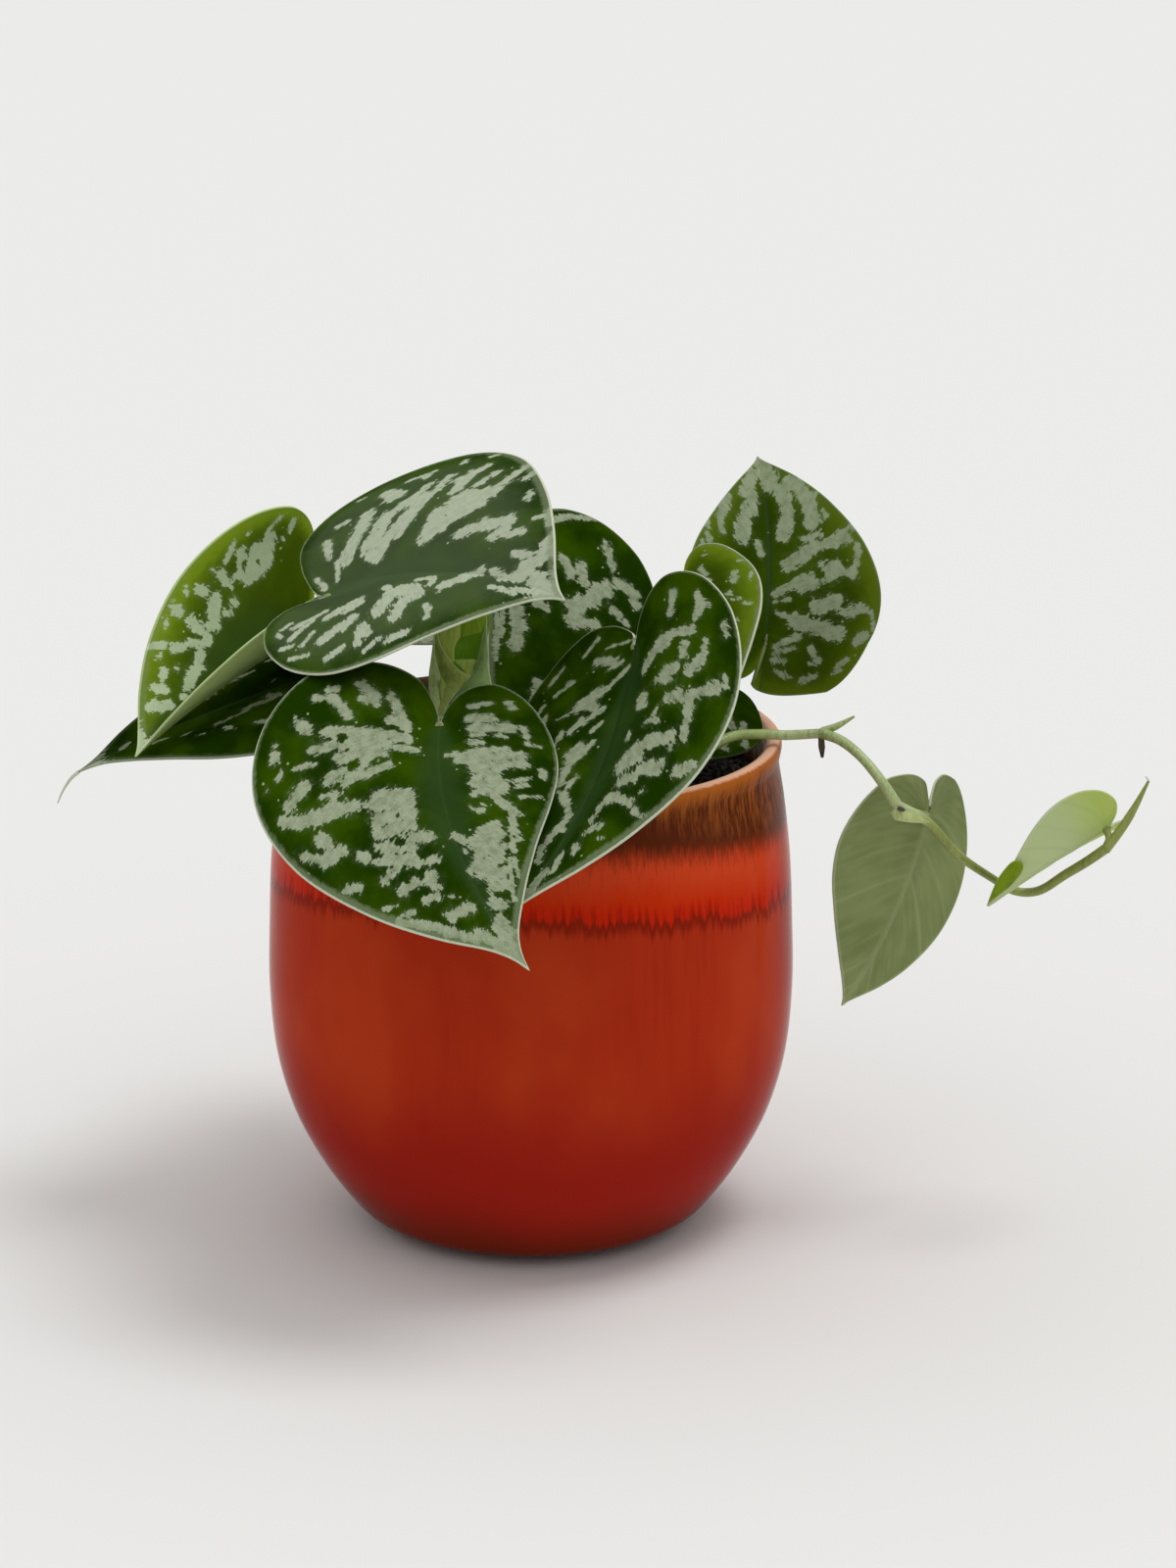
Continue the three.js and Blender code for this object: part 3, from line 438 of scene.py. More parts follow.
def paint(red, green, blue):
    """A linear colour from the red, green and blue of a paint chart, each from 0 to 255."""
    shares = [value / 255 for value in (red, green, blue)]
    return tuple(s / 12.92 if s < 0.04045 else ((s + 0.055) / 1.055) ** 2.4 for s in shares)


def colour_property(name, description, *shades):
    return FloatVectorProperty(
        name=name, description=description, default=paint(*shades), subtype="COLOR", min=0, max=1,
    )


# The sheaths and the rolled young leaf round the left shoot, and the lens of bark on the vine:
# the colour, how far the middle bulges to the front in millimetres, the share of a pale rim,
# then left and right edge points from one end to the other.
SHEATHS = {
    "sheath_edge": (paint(196, 212, 146), 0.8, 0.35, (
        ((-23, -57.5, 154), (-22, -57.5, 154)),
        ((-24.5, -48, 155.5), (-22.5, -48, 155.5)),
        ((-25.5, -38.5, 156.5), (-23, -38.5, 156.5)),
        ((-26, -32, 157), (-23, -32, 157.5)),
        ((-26, -29, 159.5), (-23, -29, 159)),
        ((-25.5, -27, 163), (-24, -27, 162)),
        ((-25, -26, 167.5), (-24.5, -26, 165.5)),
        ((-25, -25, 171), (-24.5, -25, 171)),
    )),
    "sheath_front": (paint(156, 170, 88), 2.2, 1.0, (
        ((-23, -57, 154), (-21, -57, 154)),
        ((-23.5, -47, 155.5), (-21, -47, 155)),
        ((-24, -37.5, 155.5), (-19.5, -37.5, 155.5)),
        ((-24.5, -31, 156.5), (-17.5, -31, 156.5)),
        ((-24.5, -27, 157), (-15, -27, 158)),
        ((-24.5, -25.5, 159.5), (-18, -25.5, 159.5)),
        ((-24.5, -24.5, 162), (-20.5, -24.5, 162)),
        ((-25, -24, 165), (-22.5, -24, 165)),
        ((-25, -23.5, 168), (-23.5, -23.5, 168)),
        ((-24.5, -23, 171.5), (-24, -23, 171.5)),
    )),
    "sheath_lens": (paint(160, 182, 90), 0.5, 0.0, (
        ((-22.5, -41.5, 156), (-22, -41.5, 156)),
        ((-23, -36, 157), (-21.5, -36, 156.5)),
        ((-23, -33, 158), (-21.5, -33, 157.5)),
        ((-23, -31, 159.5), (-22.5, -31, 159)),
    )),
    "sheath_right": (paint(132, 160, 96), 1.2, 0.8, (
        ((-22, -38, 154), (-8.5, -36, 155)),
        ((-19, -32, 156), (-9.5, -31, 156.5)),
        ((-15.5, -27.5, 158), (-10, -27, 158)),
        ((-14, -24, 160), (-10.5, -24, 160)),
        ((-13, -21, 163.5), (-10.5, -21, 163.5)),
        ((-12, -18, 168), (-11, -18, 168)),
        ((-11, -16, 172), (-11, -16, 172)),
    )),
    "rolled_leaf": (paint(128, 176, 44), -1.5, 0.0, (
        ((-18.5, -25, 156), (-11.5, -25, 156)),
        ((-22, -19.5, 160), (-11.5, -19.5, 160)),
        ((-23.5, -17, 165), (-11, -17, 165)),
        ((-24, -15, 168.5), (-10.5, -15, 168.5)),
        ((-24, -13.5, 172.5), (-10.5, -13.5, 172.5)),
        ((-21, -12.5, 176.5), (-12.5, -12.5, 176.5)),
        ((-17.5, -12, 180.5), (-17, -12, 180.5)),
    )),
    "rolled_leaf_fold": (paint(186, 210, 104), 0.6, 0.3, (
        ((-15.5, -25.5, 157.5), (-15, -25.5, 157.5)),
        ((-17.5, -22.5, 159), (-14.5, -22.5, 159)),
        ((-20, -20.5, 161), (-13.5, -20.5, 161)),
    )),
    "rolled_leaf_back": (paint(150, 184, 56), 0.5, 0.7, (
        ((-18, -17.5, 166), (-11, -17.5, 168)),
        ((-18.5, -16.5, 168.5), (-11, -16.5, 171)),
        ((-19, -15, 173), (-11, -15, 174)),
    )),
    "vine_lens": (paint(192, 202, 138), 0.8, 0.4, (
        ((94.9, -28.2, 121.4), (94.9, -28.2, 121.2)),
        ((96.1, -28, 122.8), (96.1, -28.6, 119.7)),
        ((99.4, -27.4, 122.2), (99.5, -28.2, 118.9)),
        ((103, -26.4, 120.6), (102.8, -26.9, 118.3)),
        ((105.4, -26.1, 118.2), (105.2, -26.1, 117.8)),
    )),
    "rolled_leaf_side": (paint(186, 206, 96), 0.8, 0.0, (
        ((-20.5, -21.5, 160.5), (-19.5, -21.5, 160.5)),
        ((-22.5, -19.5, 163.5), (-19.5, -19.5, 164)),
        ((-23.5, -18, 166.5), (-18, -18, 167)),
        ((-24, -17, 170), (-18, -17, 171)),
        ((-24, -16, 173.5), (-18, -16, 174)),
    )),
}


# ------------------------------------------------------------------ settings

class PotSettings(PropertyGroup):
    """The pot's glaze."""

    sides: IntProperty(name="Sides", description="Sides of the turned wall", default=160)
    samples: IntProperty(name="Rings", description="Rings up and down the wall", default=150)
    body: colour_property("Body", "Orange-red of the wall", 176, 49, 22)
    ochre: colour_property("Ochre", "Warmer clouds in it", 183, 58, 25)
    shadow: colour_property("Shadow", "Browner clouds in it", 155, 35, 15)
    # Deep and foot are the glaze's deeper red and brown-red, with painted shade on the lower wall mixed in,
    # where less light reaches it.
    deep: colour_property("Deep", "Deeper red of the lower third", 159, 34, 22)
    foot: colour_property("Foot", "Brown-red at the foot", 122, 36, 16)
    drip: colour_property("Drip", "Brighter red that has run down", 200, 48, 10)
    glow: colour_property("Glow", "Lightest orange-red of the band", 212, 78, 42)
    drip_tip: colour_property("Drip tips", "Scarlet of its lower edge", 198, 36, 10)
    line: colour_property("Line", "Dark line under the band", 116, 22, 8)
    brown: colour_property("Brown", "Streaked brown under the rim", 82, 36, 17)
    amber: colour_property("Amber", "Orange-brown above it", 152, 82, 34)
    rim: colour_property("Rim", "Orange of the lip's outside", 172, 94, 34)
    # The lip's pale top is partly the glaze and partly a painted highlight on the rolled edge.
    lip: colour_property("Lip", "Pale pink-orange of the lip", 222, 172, 142)
    inside: colour_property("Inside", "Pale pink-grey inside", 200, 174, 160)
    # Painted shade: the inside darkens to red-brown down towards the soil.
    inner_shade: colour_property("Inner shade", "Red-brown of the inside near the soil", 110, 58, 42)
    clay: colour_property("Clay", "Bare clay under the foot", 150, 96, 70)


class SoilSettings(PropertyGroup):
    """The potting mix."""

    crumbs: FloatProperty(name="Crumbs", description="Crumbs on a square metre", default=240000)
    crumb_size: FloatProperty(
        name="Crumb size", description="Radius of a middling crumb", default=0.0011, unit="LENGTH",
    )
    seed: IntProperty(name="Seed", description="Which scatter of crumbs", default=4)
    dark: colour_property("Dark", "Wet dark mix", 26, 19, 15)
    light: colour_property("Light", "Bark and fibre", 72, 52, 38)


class StemSettings(PropertyGroup):
    """The shoots, stalks and vine."""

    sides: IntProperty(name="Sides", description="Sides of a strand", default=20)
    groove: FloatProperty(
        name="Groove", description="Depth of a stalk's groove as a share of its radius", default=0.16,
    )
    green: colour_property("Green", "Pale green of a stalk", 152, 168, 98)
    shade: colour_property("Shade", "Darker streaks along it", 108, 128, 58)
    pale: colour_property("Pale", "Paler stretch of the vine", 186, 198, 148)
    olive: colour_property("Olive", "Vine beyond its second node", 140, 150, 72)
    root: colour_property("Root", "Brown of an aerial root", 88, 74, 58)


class LeafSettings(PropertyGroup):
    """The leaf blades."""

    stations: IntProperty(name="Stations", description="Steps along a half's edge", default=100)
    rows: IntProperty(name="Rows", description="Steps from midrib to edge", default=30)
    thickness: FloatProperty(
        name="Thickness", description="Thickness of the blade", default=0.00055, unit="LENGTH",
    )
    quilting: FloatProperty(
        name="Quilting", description="How far the blade swells between veins", default=0.00022,
        unit="LENGTH",
    )
    dark: colour_property("Dark", "Dark green of a grown leaf", 27, 51, 1)
    bright: colour_property("Bright", "Fresher green in places", 51, 77, 2)
    young: colour_property("Young", "Yellow-green of a young leaf", 116, 140, 26)
    midrib: colour_property("Midrib", "Plain blue-green along the midrib", 48, 72, 34)
    silver: colour_property("Silver", "Silver-sage of the patches", 168, 178, 150)
    sage: colour_property("Sage", "Duller streaks in them", 136, 148, 116)
    margin: colour_property("Margin", "Pale rim of the blade", 206, 212, 188)
    band: colour_property("Band", "Grey-green band inside the rim", 132, 146, 112)
    under: colour_property("Underside", "Grey-green of the underside", 124, 134, 88)


class StageSettings(PropertyGroup):
    """The camera, the floor and the lights."""

    lens: FloatProperty(name="Lens", description="Focal length", default=111.35, unit="CAMERA")
    distance: FloatProperty(
        name="Distance", description="From the camera to the plant", default=1.3, unit="LENGTH",
    )
    elevation: FloatProperty(
        name="Elevation", description="The camera's height above level", default=math.radians(16.5),
        unit="ROTATION",
    )
    floor: colour_property("Floor", "Pale floor", 232, 232, 230)
    sky: FloatProperty(name="Sky", description="Strength of the light overhead", default=0.87)
    horizon: FloatProperty(name="Horizon", description="Share of it near the horizon", default=0.35)
    key: FloatProperty(name="Key", description="Strength of the main light", default=0.95)


# ------------------------------------------------------------------ shaders

# The heights in millimetres between which each change in the glaze runs; the last is inside.
FOOT_WORN = (0.1, 0.35)
FOOT_TO_DEEP = (3, 24)
DEEP_TO_BODY = (32, 66)
LINE_START = (92.5, 96.4)
LINE_END = (96.8, 99)
BAND_START = (96.4, 98.4)
BAND_GLOW = (97.5, 104)
BAND_CREASES = (98, 102)
BAND_LIGHT = (101, 111)
BROWN_HAZE = (109, 121)
BROWN_START = (110.5, 118.5)
AMBER_START = (135, 153)
RIM_START = (127.5, 134)
LIP_START = (134.1, 134.8)
INNER_SHADE_END = (122, 128)
# Millimetres that the bands hang lower for each metre to the right, that they stand higher for
# each square metre to the front or back, and that amber starts lower for each metre to the right.
BAND_TILT = 33
BAND_RISE = 1560
AMBER_TILT = 400
SPECK_SCALE = 95.0
SPECK_COLOUR = paint(40, 12, 10)

# How far light spreads in a blade and in a stalk, as shares for red, green and blue.
BLADE_SPREAD = (0.5, 1.0, 0.2)
STALK_SPREAD = (0.6, 1.0, 0.25)


class Socket:
    """A value in a shader that plus, minus and times work on."""

    def __init__(self, shader, output):
        self.shader = shader
        self.output = output

    def math(self, operation, first, second):
        return self.shader.node("ShaderNodeMath", {"operation": operation}, {0: first, 1: second})

    def __add__(self, other):
        return self.math("ADD", self, other)

    def __radd__(self, other):
        return self.math("ADD", other, self)

    def __sub__(self, other):
        return self.math("SUBTRACT", self, other)

    def __rsub__(self, other):
        return self.math("SUBTRACT", other, self)

    def __mul__(self, other):
        return self.math("MULTIPLY", self, other)

    def __rmul__(self, other):
        return self.math("MULTIPLY", other, self)


class Shader:
    """A material, and the nodes that are added to it."""

    def __init__(self, name):
        self.material = bpy.data.materials.new(name)
        self.material.use_nodes = True
        self.tree = self.material.node_tree
        self.surface = self.tree.nodes["Principled BSDF"]

    def node(self, kind, settings=None, inputs=None, output=0):
        """Adds a node with its settings and inputs, and returns one of its outputs."""
        node = self.tree.nodes.new(kind)
        for name, value in (settings or {}).items():
            setattr(node, name, value)
        for key, value in (inputs or {}).items():
            self.feed(node.inputs[key], value)
        return Socket(self, node.outputs[output])

    def feed(self, socket, value):
        """Links a value to a socket, or sets the socket to a number or colour."""
        if isinstance(value, Socket):
            self.tree.links.new(value.output, socket)
        elif socket.type == "RGBA" and len(value) == 3:
            socket.default_value = (*value, 1)
        else:
            socket.default_value = value

    def mix(self, factor, first, second):
        """The first colour where factor is 0, the second where it is 1."""
        return self.node("ShaderNodeMix", {"data_type": "RGBA"}, {0: factor, 6: first, 7: second}, 2)

    def smooth(self, value, low, high):
        """0 below low, 1 above high, and a smooth step between."""
        settings = {"interpolation_type": "SMOOTHSTEP"}
        return self.node("ShaderNodeMapRange", settings, {0: value, 1: low, 2: high})

    def stretch(self, vector, scale):
        """A vector with its x, y and z each times its own scale."""
        return self.node("ShaderNodeVectorMath", {"operation": "MULTIPLY"}, {0: vector, 1: scale})

    def scale(self, vector, share):
        """A vector or colour times one share."""
        settings = {"operation": "SCALE"}
        return self.node("ShaderNodeVectorMath", settings, {0: vector, "Scale": share})

    def noise(self, vector, scale=1.0, detail=2.0, roughness=0.5):
        inputs = {"Vector": vector, "Scale": scale, "Detail": detail, "Roughness": roughness}
        return self.node("ShaderNodeTexNoise", {}, inputs)

    def cells(self, vector, scale=1.0, output="Distance", feature="F1"):
        """Cells round scattered points: the distance to a point or an edge, or a cell's colour."""
        inputs = {"Vector": vector, "Scale": scale}
        return self.node("ShaderNodeTexVoronoi", {"feature": feature}, inputs, output)

    def attribute(self, name, output="Fac"):
        return self.node("ShaderNodeAttribute", {"attribute_name": name}, {}, output)

    def place(self):
        """The point on the piece, in metres."""
        return self.node("ShaderNodeTexCoord", {}, {}, "Object")

    def parts(self, vector):
        """The x, y and z of a vector."""
        return [self.node("ShaderNodeSeparateXYZ", {}, {0: vector}, axis) for axis in range(3)]

    def bump(self, height, distance, strength=1.0):
        inputs = {"Height": height, "Distance": distance, "Strength": strength}
        return self.node("ShaderNodeBump", {}, inputs)

    def finish(self, **values):
        """Sets the surface's sockets, by names such as base_color, and returns the material."""
        for name, value in values.items():
            words = name.replace("_", " ").title().replace("Ior", "IOR")
            self.feed(self.surface.inputs[words], value)
        return self.material


def glaze_material(settings):
    """A reactive glaze: bands that ran down the wall, tongues, streaks, specks and a pale lip, partly a
    painted highlight, with painted shade low on the wall and inside near the soil.
    """
    shader = Shader("reactive_glaze")
    mix, smooth, noise, stretch = shader.mix, shader.smooth, shader.noise, shader.stretch
    place = shader.place()
    across, depth, up = shader.parts(place)
    height = up * 1000
    inside = shader.attribute("inside")
    streak = noise(stretch(place, (420, 420, 26)), detail=3, roughness=0.6) - 0.5
    hair = noise(stretch(place, (1500, 1500, 70)), detail=2, roughness=0.6) - 0.5
    cloud = noise(stretch(place, (1, 1, 0.6)), scale=30, detail=3) - 0.5
    drift = noise(stretch(place, (1, 1, 0.05)), scale=34, detail=1) - 0.5
    # the bands hang lower to the right, and stand higher at the front and back than at the sides
    level = height + across * BAND_TILT - depth * depth * BAND_RISE + drift * 5
    # the wall, from the foot up; the deeper red low down and the brown-red foot are the glaze's own colour
    # with painted shade mixed in
    wall = height + drift * 18 + cloud * 16
    body = mix(smooth(cloud, -0.02, 0.18), settings.body, settings.ochre)
    body = mix(smooth(streak * 0.6 - cloud, 0.0, 0.3) * 0.5, body, settings.shadow)
    colour = mix(smooth(wall, *DEEP_TO_BODY), settings.deep, body)
    colour = mix(smooth(height + cloud * 12, *FOOT_TO_DEEP), settings.foot, colour)
    # a glowing band with rounded tongues that hang over a soft dark line
    tongue = shader.cells(stretch(place, (760, 760, 50)))
    edge = level + 1.5 - tongue * 3.6 + hair * 3 + streak * 4.5
    below = smooth(edge, *LINE_START) * (1 - smooth(edge, *LINE_END))
    colour = mix(below * 0.72, colour, settings.line)
    glow = smooth(edge + streak * 4, *BAND_GLOW)
    band = mix(glow, settings.drip_tip, settings.drip)
    band = mix(smooth(level + streak * 3 + cloud * 14, *BAND_LIGHT) * 0.6, band, settings.glow)
    crease = smooth(tongue, 0.42, 0.75) * (1 - smooth(edge, *BAND_CREASES))
    band = mix(crease * 0.4, band, settings.line)
    band = mix(smooth(hair + streak * 0.5, 0.04, 0.26) * 0.1, band, settings.line)
    colour = mix(smooth(edge, *BAND_START), colour, band)
    # brown under the rim, with fine dark runs below it
    run = level + hair * 5 + streak * 4
    fade = level + hair * 26 + streak * 8
    colour = mix(smooth(fade, *BROWN_HAZE) * 0.28, colour, settings.brown)
    colour = mix(smooth(run, *BROWN_START) * 0.97, colour, settings.brown)
    # amber to the right, then the rim, the lip and the inside
    rust = mix(smooth(hair + streak, -0.2, 0.2), settings.brown, settings.amber)
    amber = smooth(height + across * AMBER_TILT + streak * 9 + hair * 6, *AMBER_START)
    colour = mix(amber * 0.9, colour, rust)
    colour = mix(smooth(height + streak * 8, *RIM_START), colour, settings.rim)
    # the pale top of the lip is partly a painted highlight
    colour = mix(smooth(height + hair * 0.8, *LIP_START), colour, settings.lip)
    # painted shade: the inside turns red-brown towards the soil, where little light reaches
    inner = mix(smooth(height + streak * 6, *INNER_SHADE_END), settings.inner_shade, settings.inside)
    colour = mix(inside, colour, inner)
    # iron specks
    specks = stretch(place, (1, 1, 0.55))
    near = shader.cells(specks, SPECK_SCALE)
    which = shader.cells(specks, SPECK_SCALE, "Color")
    chosen = smooth(shader.parts(which)[0], 0.86, 0.9)
    speck = (1 - smooth(near, 0.03, 0.055)) * chosen
    colour = mix(speck * 0.85, colour, SPECK_COLOUR)
    worn = 1 - smooth(height, *FOOT_WORN)
    colour = mix(worn, colour, settings.clay)
    ripple = noise(stretch(place, (70, 70, 26)), detail=2)
    relief = ripple + smooth(edge, 95, 99) * 0.5 + streak * 0.12 + speck * 0.3
    return shader.finish(
        base_color=colour, roughness=0.16 + worn * 0.6 + amber * 0.12,
        normal=shader.bump(relief, 0.00025, 0.4), ior=1.18, specular_ior_level=0.08,
    )


def soil_material(settings):
    """Moist, dark mix with paler bark and fibre."""
    shader = Shader("potting_mix")
    place = shader.place()
    patch = shader.noise(place, scale=120, detail=4, roughness=0.7)
    grit = shader.noise(place, scale=700, detail=3, roughness=0.7)
    colour = shader.mix(shader.smooth(patch * 0.6 + grit * 0.5, 0.52, 0.78), settings.dark, settings.light)
    return shader.finish(
        base_color=colour, roughness=0.75 + grit * 0.2, normal=shader.bump(grit, 0.0006, 0.8),
    )


def stalk_material(settings):
    """A smooth stalk with faint streaks along it."""
    shader = Shader("green_stalk")
    place = shader.place()
    cloud = shader.noise(place, scale=90, detail=2)
    streak = shader.noise(shader.stretch(place, (1500, 1500, 120)), detail=2)
    along = shader.parts(place)[0] + cloud * 0.006
    pale = shader.smooth(along, 0.062, 0.072)
    olive = shader.smooth(along, 0.103, 0.109)
    green = shader.mix(pale * 0.6, settings.green, settings.pale)
    green = shader.mix(olive, green, settings.olive)
    shade = shader.mix(olive, settings.shade, paint(110, 118, 44))
    colour = shader.mix(shader.smooth(cloud * 0.5 + streak * 0.5, 0.4, 0.68) * 0.8, green, shade)
    return shader.finish(
        base_color=colour, roughness=0.38, normal=shader.bump(streak, 0.0002, 0.3),
        subsurface_weight=0.15, subsurface_radius=STALK_SPREAD, subsurface_scale=0.0015,
        coat_weight=0.1,
    )


def sheath_material():
    """The thin, streaked skin of a sheath or a rolled young leaf, each of its own green."""
    shader = Shader("stalk_sheath")
    place = shader.place()
    tint = shader.attribute("tint", "Vector")
    streak = shader.noise(shader.stretch(place, (1400, 600, 160)), detail=3, roughness=0.6)
    cloud = shader.noise(place, scale=150, detail=2)
    shade = shader.stretch(tint, (0.45, 0.5, 0.4))
    colour = shader.mix(shader.smooth(streak * 0.5 + cloud * 0.5, 0.4, 0.65) * 0.6, tint, shade)
    rim = (1 - shader.smooth(shader.attribute("from_rim"), 0.12, 0.4)) * shader.attribute("rim")
    colour = shader.mix(rim * 0.75, colour, paint(196, 204, 160))
    return shader.finish(
        base_color=colour, roughness=0.42, normal=shader.bump(streak, 0.0002, 0.3),
        specular_ior_level=0.04, subsurface_weight=0.1, subsurface_radius=STALK_SPREAD,
        subsurface_scale=0.001,
    )


def root_material(settings):
    """The dry brown skin of an aerial root."""
    shader = Shader("aerial_root")
    place = shader.place()
    streak = shader.noise(shader.stretch(place, (2500, 2500, 500)), detail=3)
    colour = shader.mix(shader.smooth(streak, 0.35, 0.7), settings.root, paint(52, 44, 36))
    return shader.finish(base_color=colour, roughness=0.8, normal=shader.bump(streak, 0.0003, 0.6))


def upper_leaf_material(settings):
    """The satin face: dark green, silver patches, a plain midrib zone and a pale rim.

    grain runs along and across the side veins and flat over the flat leaf, both in millimetres.
    """
    shader = Shader("satin_leaf_face")
    mix, smooth, noise, attribute = shader.mix, shader.smooth, shader.noise, shader.attribute
    grain = attribute("grain", "Vector")
    flat = attribute("flat", "Vector")
    patches = attribute("patches")
    margin = attribute("from_margin")
    midrib_zone = attribute("midrib_zone")
    midrib = attribute("from_midrib")
    youth = attribute("youth")
    ragged = noise(shader.stretch(grain, (1.1, 0.22, 1)), detail=4, roughness=0.68) - 0.5
    serrate = noise(shader.stretch(grain, (3.4, 0.5, 1)), detail=2, roughness=0.6) - 0.5
    blotch = noise(flat, scale=0.45, detail=3, roughness=0.6) - 0.5
    fine = noise(flat, scale=2.4, detail=2, roughness=0.6) - 0.5
    painted_sheen_and_silver = attribute("painted_sheen_and_silver")
    # the patches' ragged edges, and small dots round them
    edge = patches + ragged * 1.5 + serrate * 0.6 + blotch * 1.5 + fine * 0.6 + painted_sheen_and_silver * 0.4 - 0.14
    dots = shader.stretch(flat, (0.34, 0.34, 0.34))
    near = shader.cells(dots)
    which = shader.cells(dots, output="Color")
    chosen = smooth(shader.parts(which)[0], 0.5, 0.52) * smooth(patches, -1.35, -0.9)
    dot = (1 - smooth(near + fine * 0.1, 0.1, 0.13)) * chosen
    crisp = smooth(edge, -0.03, 0.04)
    crisp = crisp + dot * (1 - crisp)
    silver = crisp * 0.88 + smooth(edge, -0.7, 0.1) * 0.07
    # the green between them, fresher at a young leaf's margin
    zone = smooth(midrib_zone + ragged * 0.25 + blotch * 0.2, 0.12, 1.05)
    tone = noise(flat, scale=0.06, detail=2)
    green = mix(smooth(tone + blotch * 0.15, 0.38, 0.66), settings.dark, settings.bright)
    green = mix(smooth(ragged, 0.0, 0.3) * 0.3, green, settings.dark)
    outer = 1 - smooth(margin + blotch * 5, 0.5, 11)
    to_tip = smooth(shader.parts(flat)[0], 18, 66)
    green = mix(youth * (outer * 0.68 + 0.32) * (1 - to_tip * 0.6), green, settings.young)
    lime = (1 - smooth(margin + blotch * 5, 0.5, 7)) * (1 - to_tip)
    green = mix(youth * lime * 0.45, green, paint(144, 170, 44))
    green = mix(zone * 0.72, green, settings.midrib)
    # the silver-sage of the patches, crossed by a fine network
    network = 1 - smooth(shader.cells(flat, 1.7, feature="DISTANCE_TO_EDGE"), 0.02, 0.14)
    sage = mix(smooth(ragged + blotch * 1.4, -0.4, 0.25), settings.sage, settings.silver)
    sage = mix(network * 0.25, sage, paint(98, 112, 78))
    sage = mix(youth * 0.45, sage, paint(150, 172, 120))
    # painted sheen: paler silver where a leaf catches the light
    sage = mix(attribute("pale"), sage, paint(212, 222, 200))
    # painted sheen: a grey veil over the green, less towards the margin
    green = mix(painted_sheen_and_silver * (1 - outer * 0.8), green, paint(92, 106, 78))
    colour = mix(silver, green, sage)
    # the midrib, the band inside the margin and the pale rim itself
    rib = 1 - smooth(midrib, 0.1, 0.6)
    colour = mix(rib * 0.07, colour, paint(96, 116, 74))
    rim_share = attribute("rim")
    band = 1 - smooth(margin + ragged * 1.5 + blotch * 1.5 - to_tip * 1.1, 0.4, 1.6)
    colour = mix(band * rim_share * 0.55, colour, settings.band)
    rim = 1 - smooth(margin + fine * 0.35, 0.24, 0.52)
    edging = mix(youth * (1 - rim_share), settings.margin, paint(168, 186, 110))
    colour = mix(rim * (rim_share * 0.85 + 0.07), colour, edging)
    # painted light and shade: each half's colour scaled by how light falls on it
    colour = shader.scale(colour, attribute("tone"))
    relief = network * 0.2 + silver * 0.5 + ragged * 0.5
    return shader.finish(
        base_color=colour, roughness=0.45 + silver * 0.12, normal=shader.bump(relief, 0.00012, 0.5),
        subsurface_weight=0.08, subsurface_radius=BLADE_SPREAD, subsurface_scale=0.001,
        specular_ior_level=0.0,
    )


def lower_leaf_material(settings):
    """The plain underside, with faint paler veins."""
    shader = Shader("satin_leaf_underside")
    mix, smooth, attribute = shader.mix, shader.smooth, shader.attribute
    grain = attribute("grain", "Vector")
    flat = attribute("flat", "Vector")
    margin = attribute("from_margin")
    veins = attribute("veins")
    youth = attribute("youth")
    streak = shader.noise(shader.stretch(grain, (0.35, 0.08, 1)), detail=3)
    tone = shader.noise(flat, scale=0.08, detail=2)
    shade = smooth(streak * 0.6 + tone * 0.5, 0.4, 0.75)
    colour = mix(youth * 0.5, settings.under, paint(152, 164, 104))
    colour = mix(shade * 0.5, colour, paint(98, 112, 62))
    # painted light on the underside: a paler green, paler still with painted sheen and at the lobe, stands
    # in for light on it
    lobe = 1 - smooth(shader.parts(flat)[0], -4, 12)
    lit_underside = mix(attribute("pale"), paint(176, 204, 110), paint(200, 215, 160))
    lit_underside = mix(lobe, lit_underside, paint(190, 210, 106))
    colour = mix(attribute("underlit"), colour, lit_underside)
    colour = mix(smooth(veins, 0.3, 0.95) * 0.26, colour, paint(166, 174, 130))
    rim = 1 - smooth(margin, 0.3, 0.8)
    colour = mix(rim * 0.28, colour, settings.margin)
    return shader.finish(
        base_color=colour, roughness=0.55, normal=shader.bump(streak, 0.0002, 0.25),
        subsurface_weight=0.1, subsurface_radius=BLADE_SPREAD, subsurface_scale=0.001,
        specular_ior_level=0.02,
    )


def plain_material(name, colour, roughness):
    """A material of one colour."""
    return Shader(name).finish(base_color=colour, roughness=roughness)


# ------------------------------------------------------------------ meshes

def place_object(name, data):
    """A new object at the origin, in the scene."""
    thing = bpy.data.objects.new(name, data)
    bpy.context.scene.collection.objects.link(thing)
    return thing


def mesh_piece(name, points, faces, materials, face_materials=None, attributes=None):
    """A smooth-shaded object at the origin, with its points in metres."""
    mesh = bpy.data.meshes.new(name)
    mesh.from_pydata(np.asarray(points).tolist(), [], faces)
    mesh.polygons.foreach_set("use_smooth", np.ones(len(mesh.polygons), bool))
    for material in materials:
        mesh.materials.append(material)
    if face_materials is not None:
        mesh.polygons.foreach_set("material_index", np.asarray(face_materials, np.int32))
    for key, values in (attributes or {}).items():
        values = np.asarray(values, np.float32)
        kind, slot = ("FLOAT_VECTOR", "vector") if values.ndim == 2 else ("FLOAT", "value")
        mesh.attributes.new(key, kind, "POINT").data.foreach_set(slot, values.ravel())
    mesh.validate()
    return place_object(name, mesh)


def register_piece(piece, slot, *nodes):
    """Puts the piece on its body and hides the CAD nodes that it stands for; the slot, its finish, is not
    used.
    """
    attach(piece, BODY)
    if nodes:
        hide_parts(*nodes)


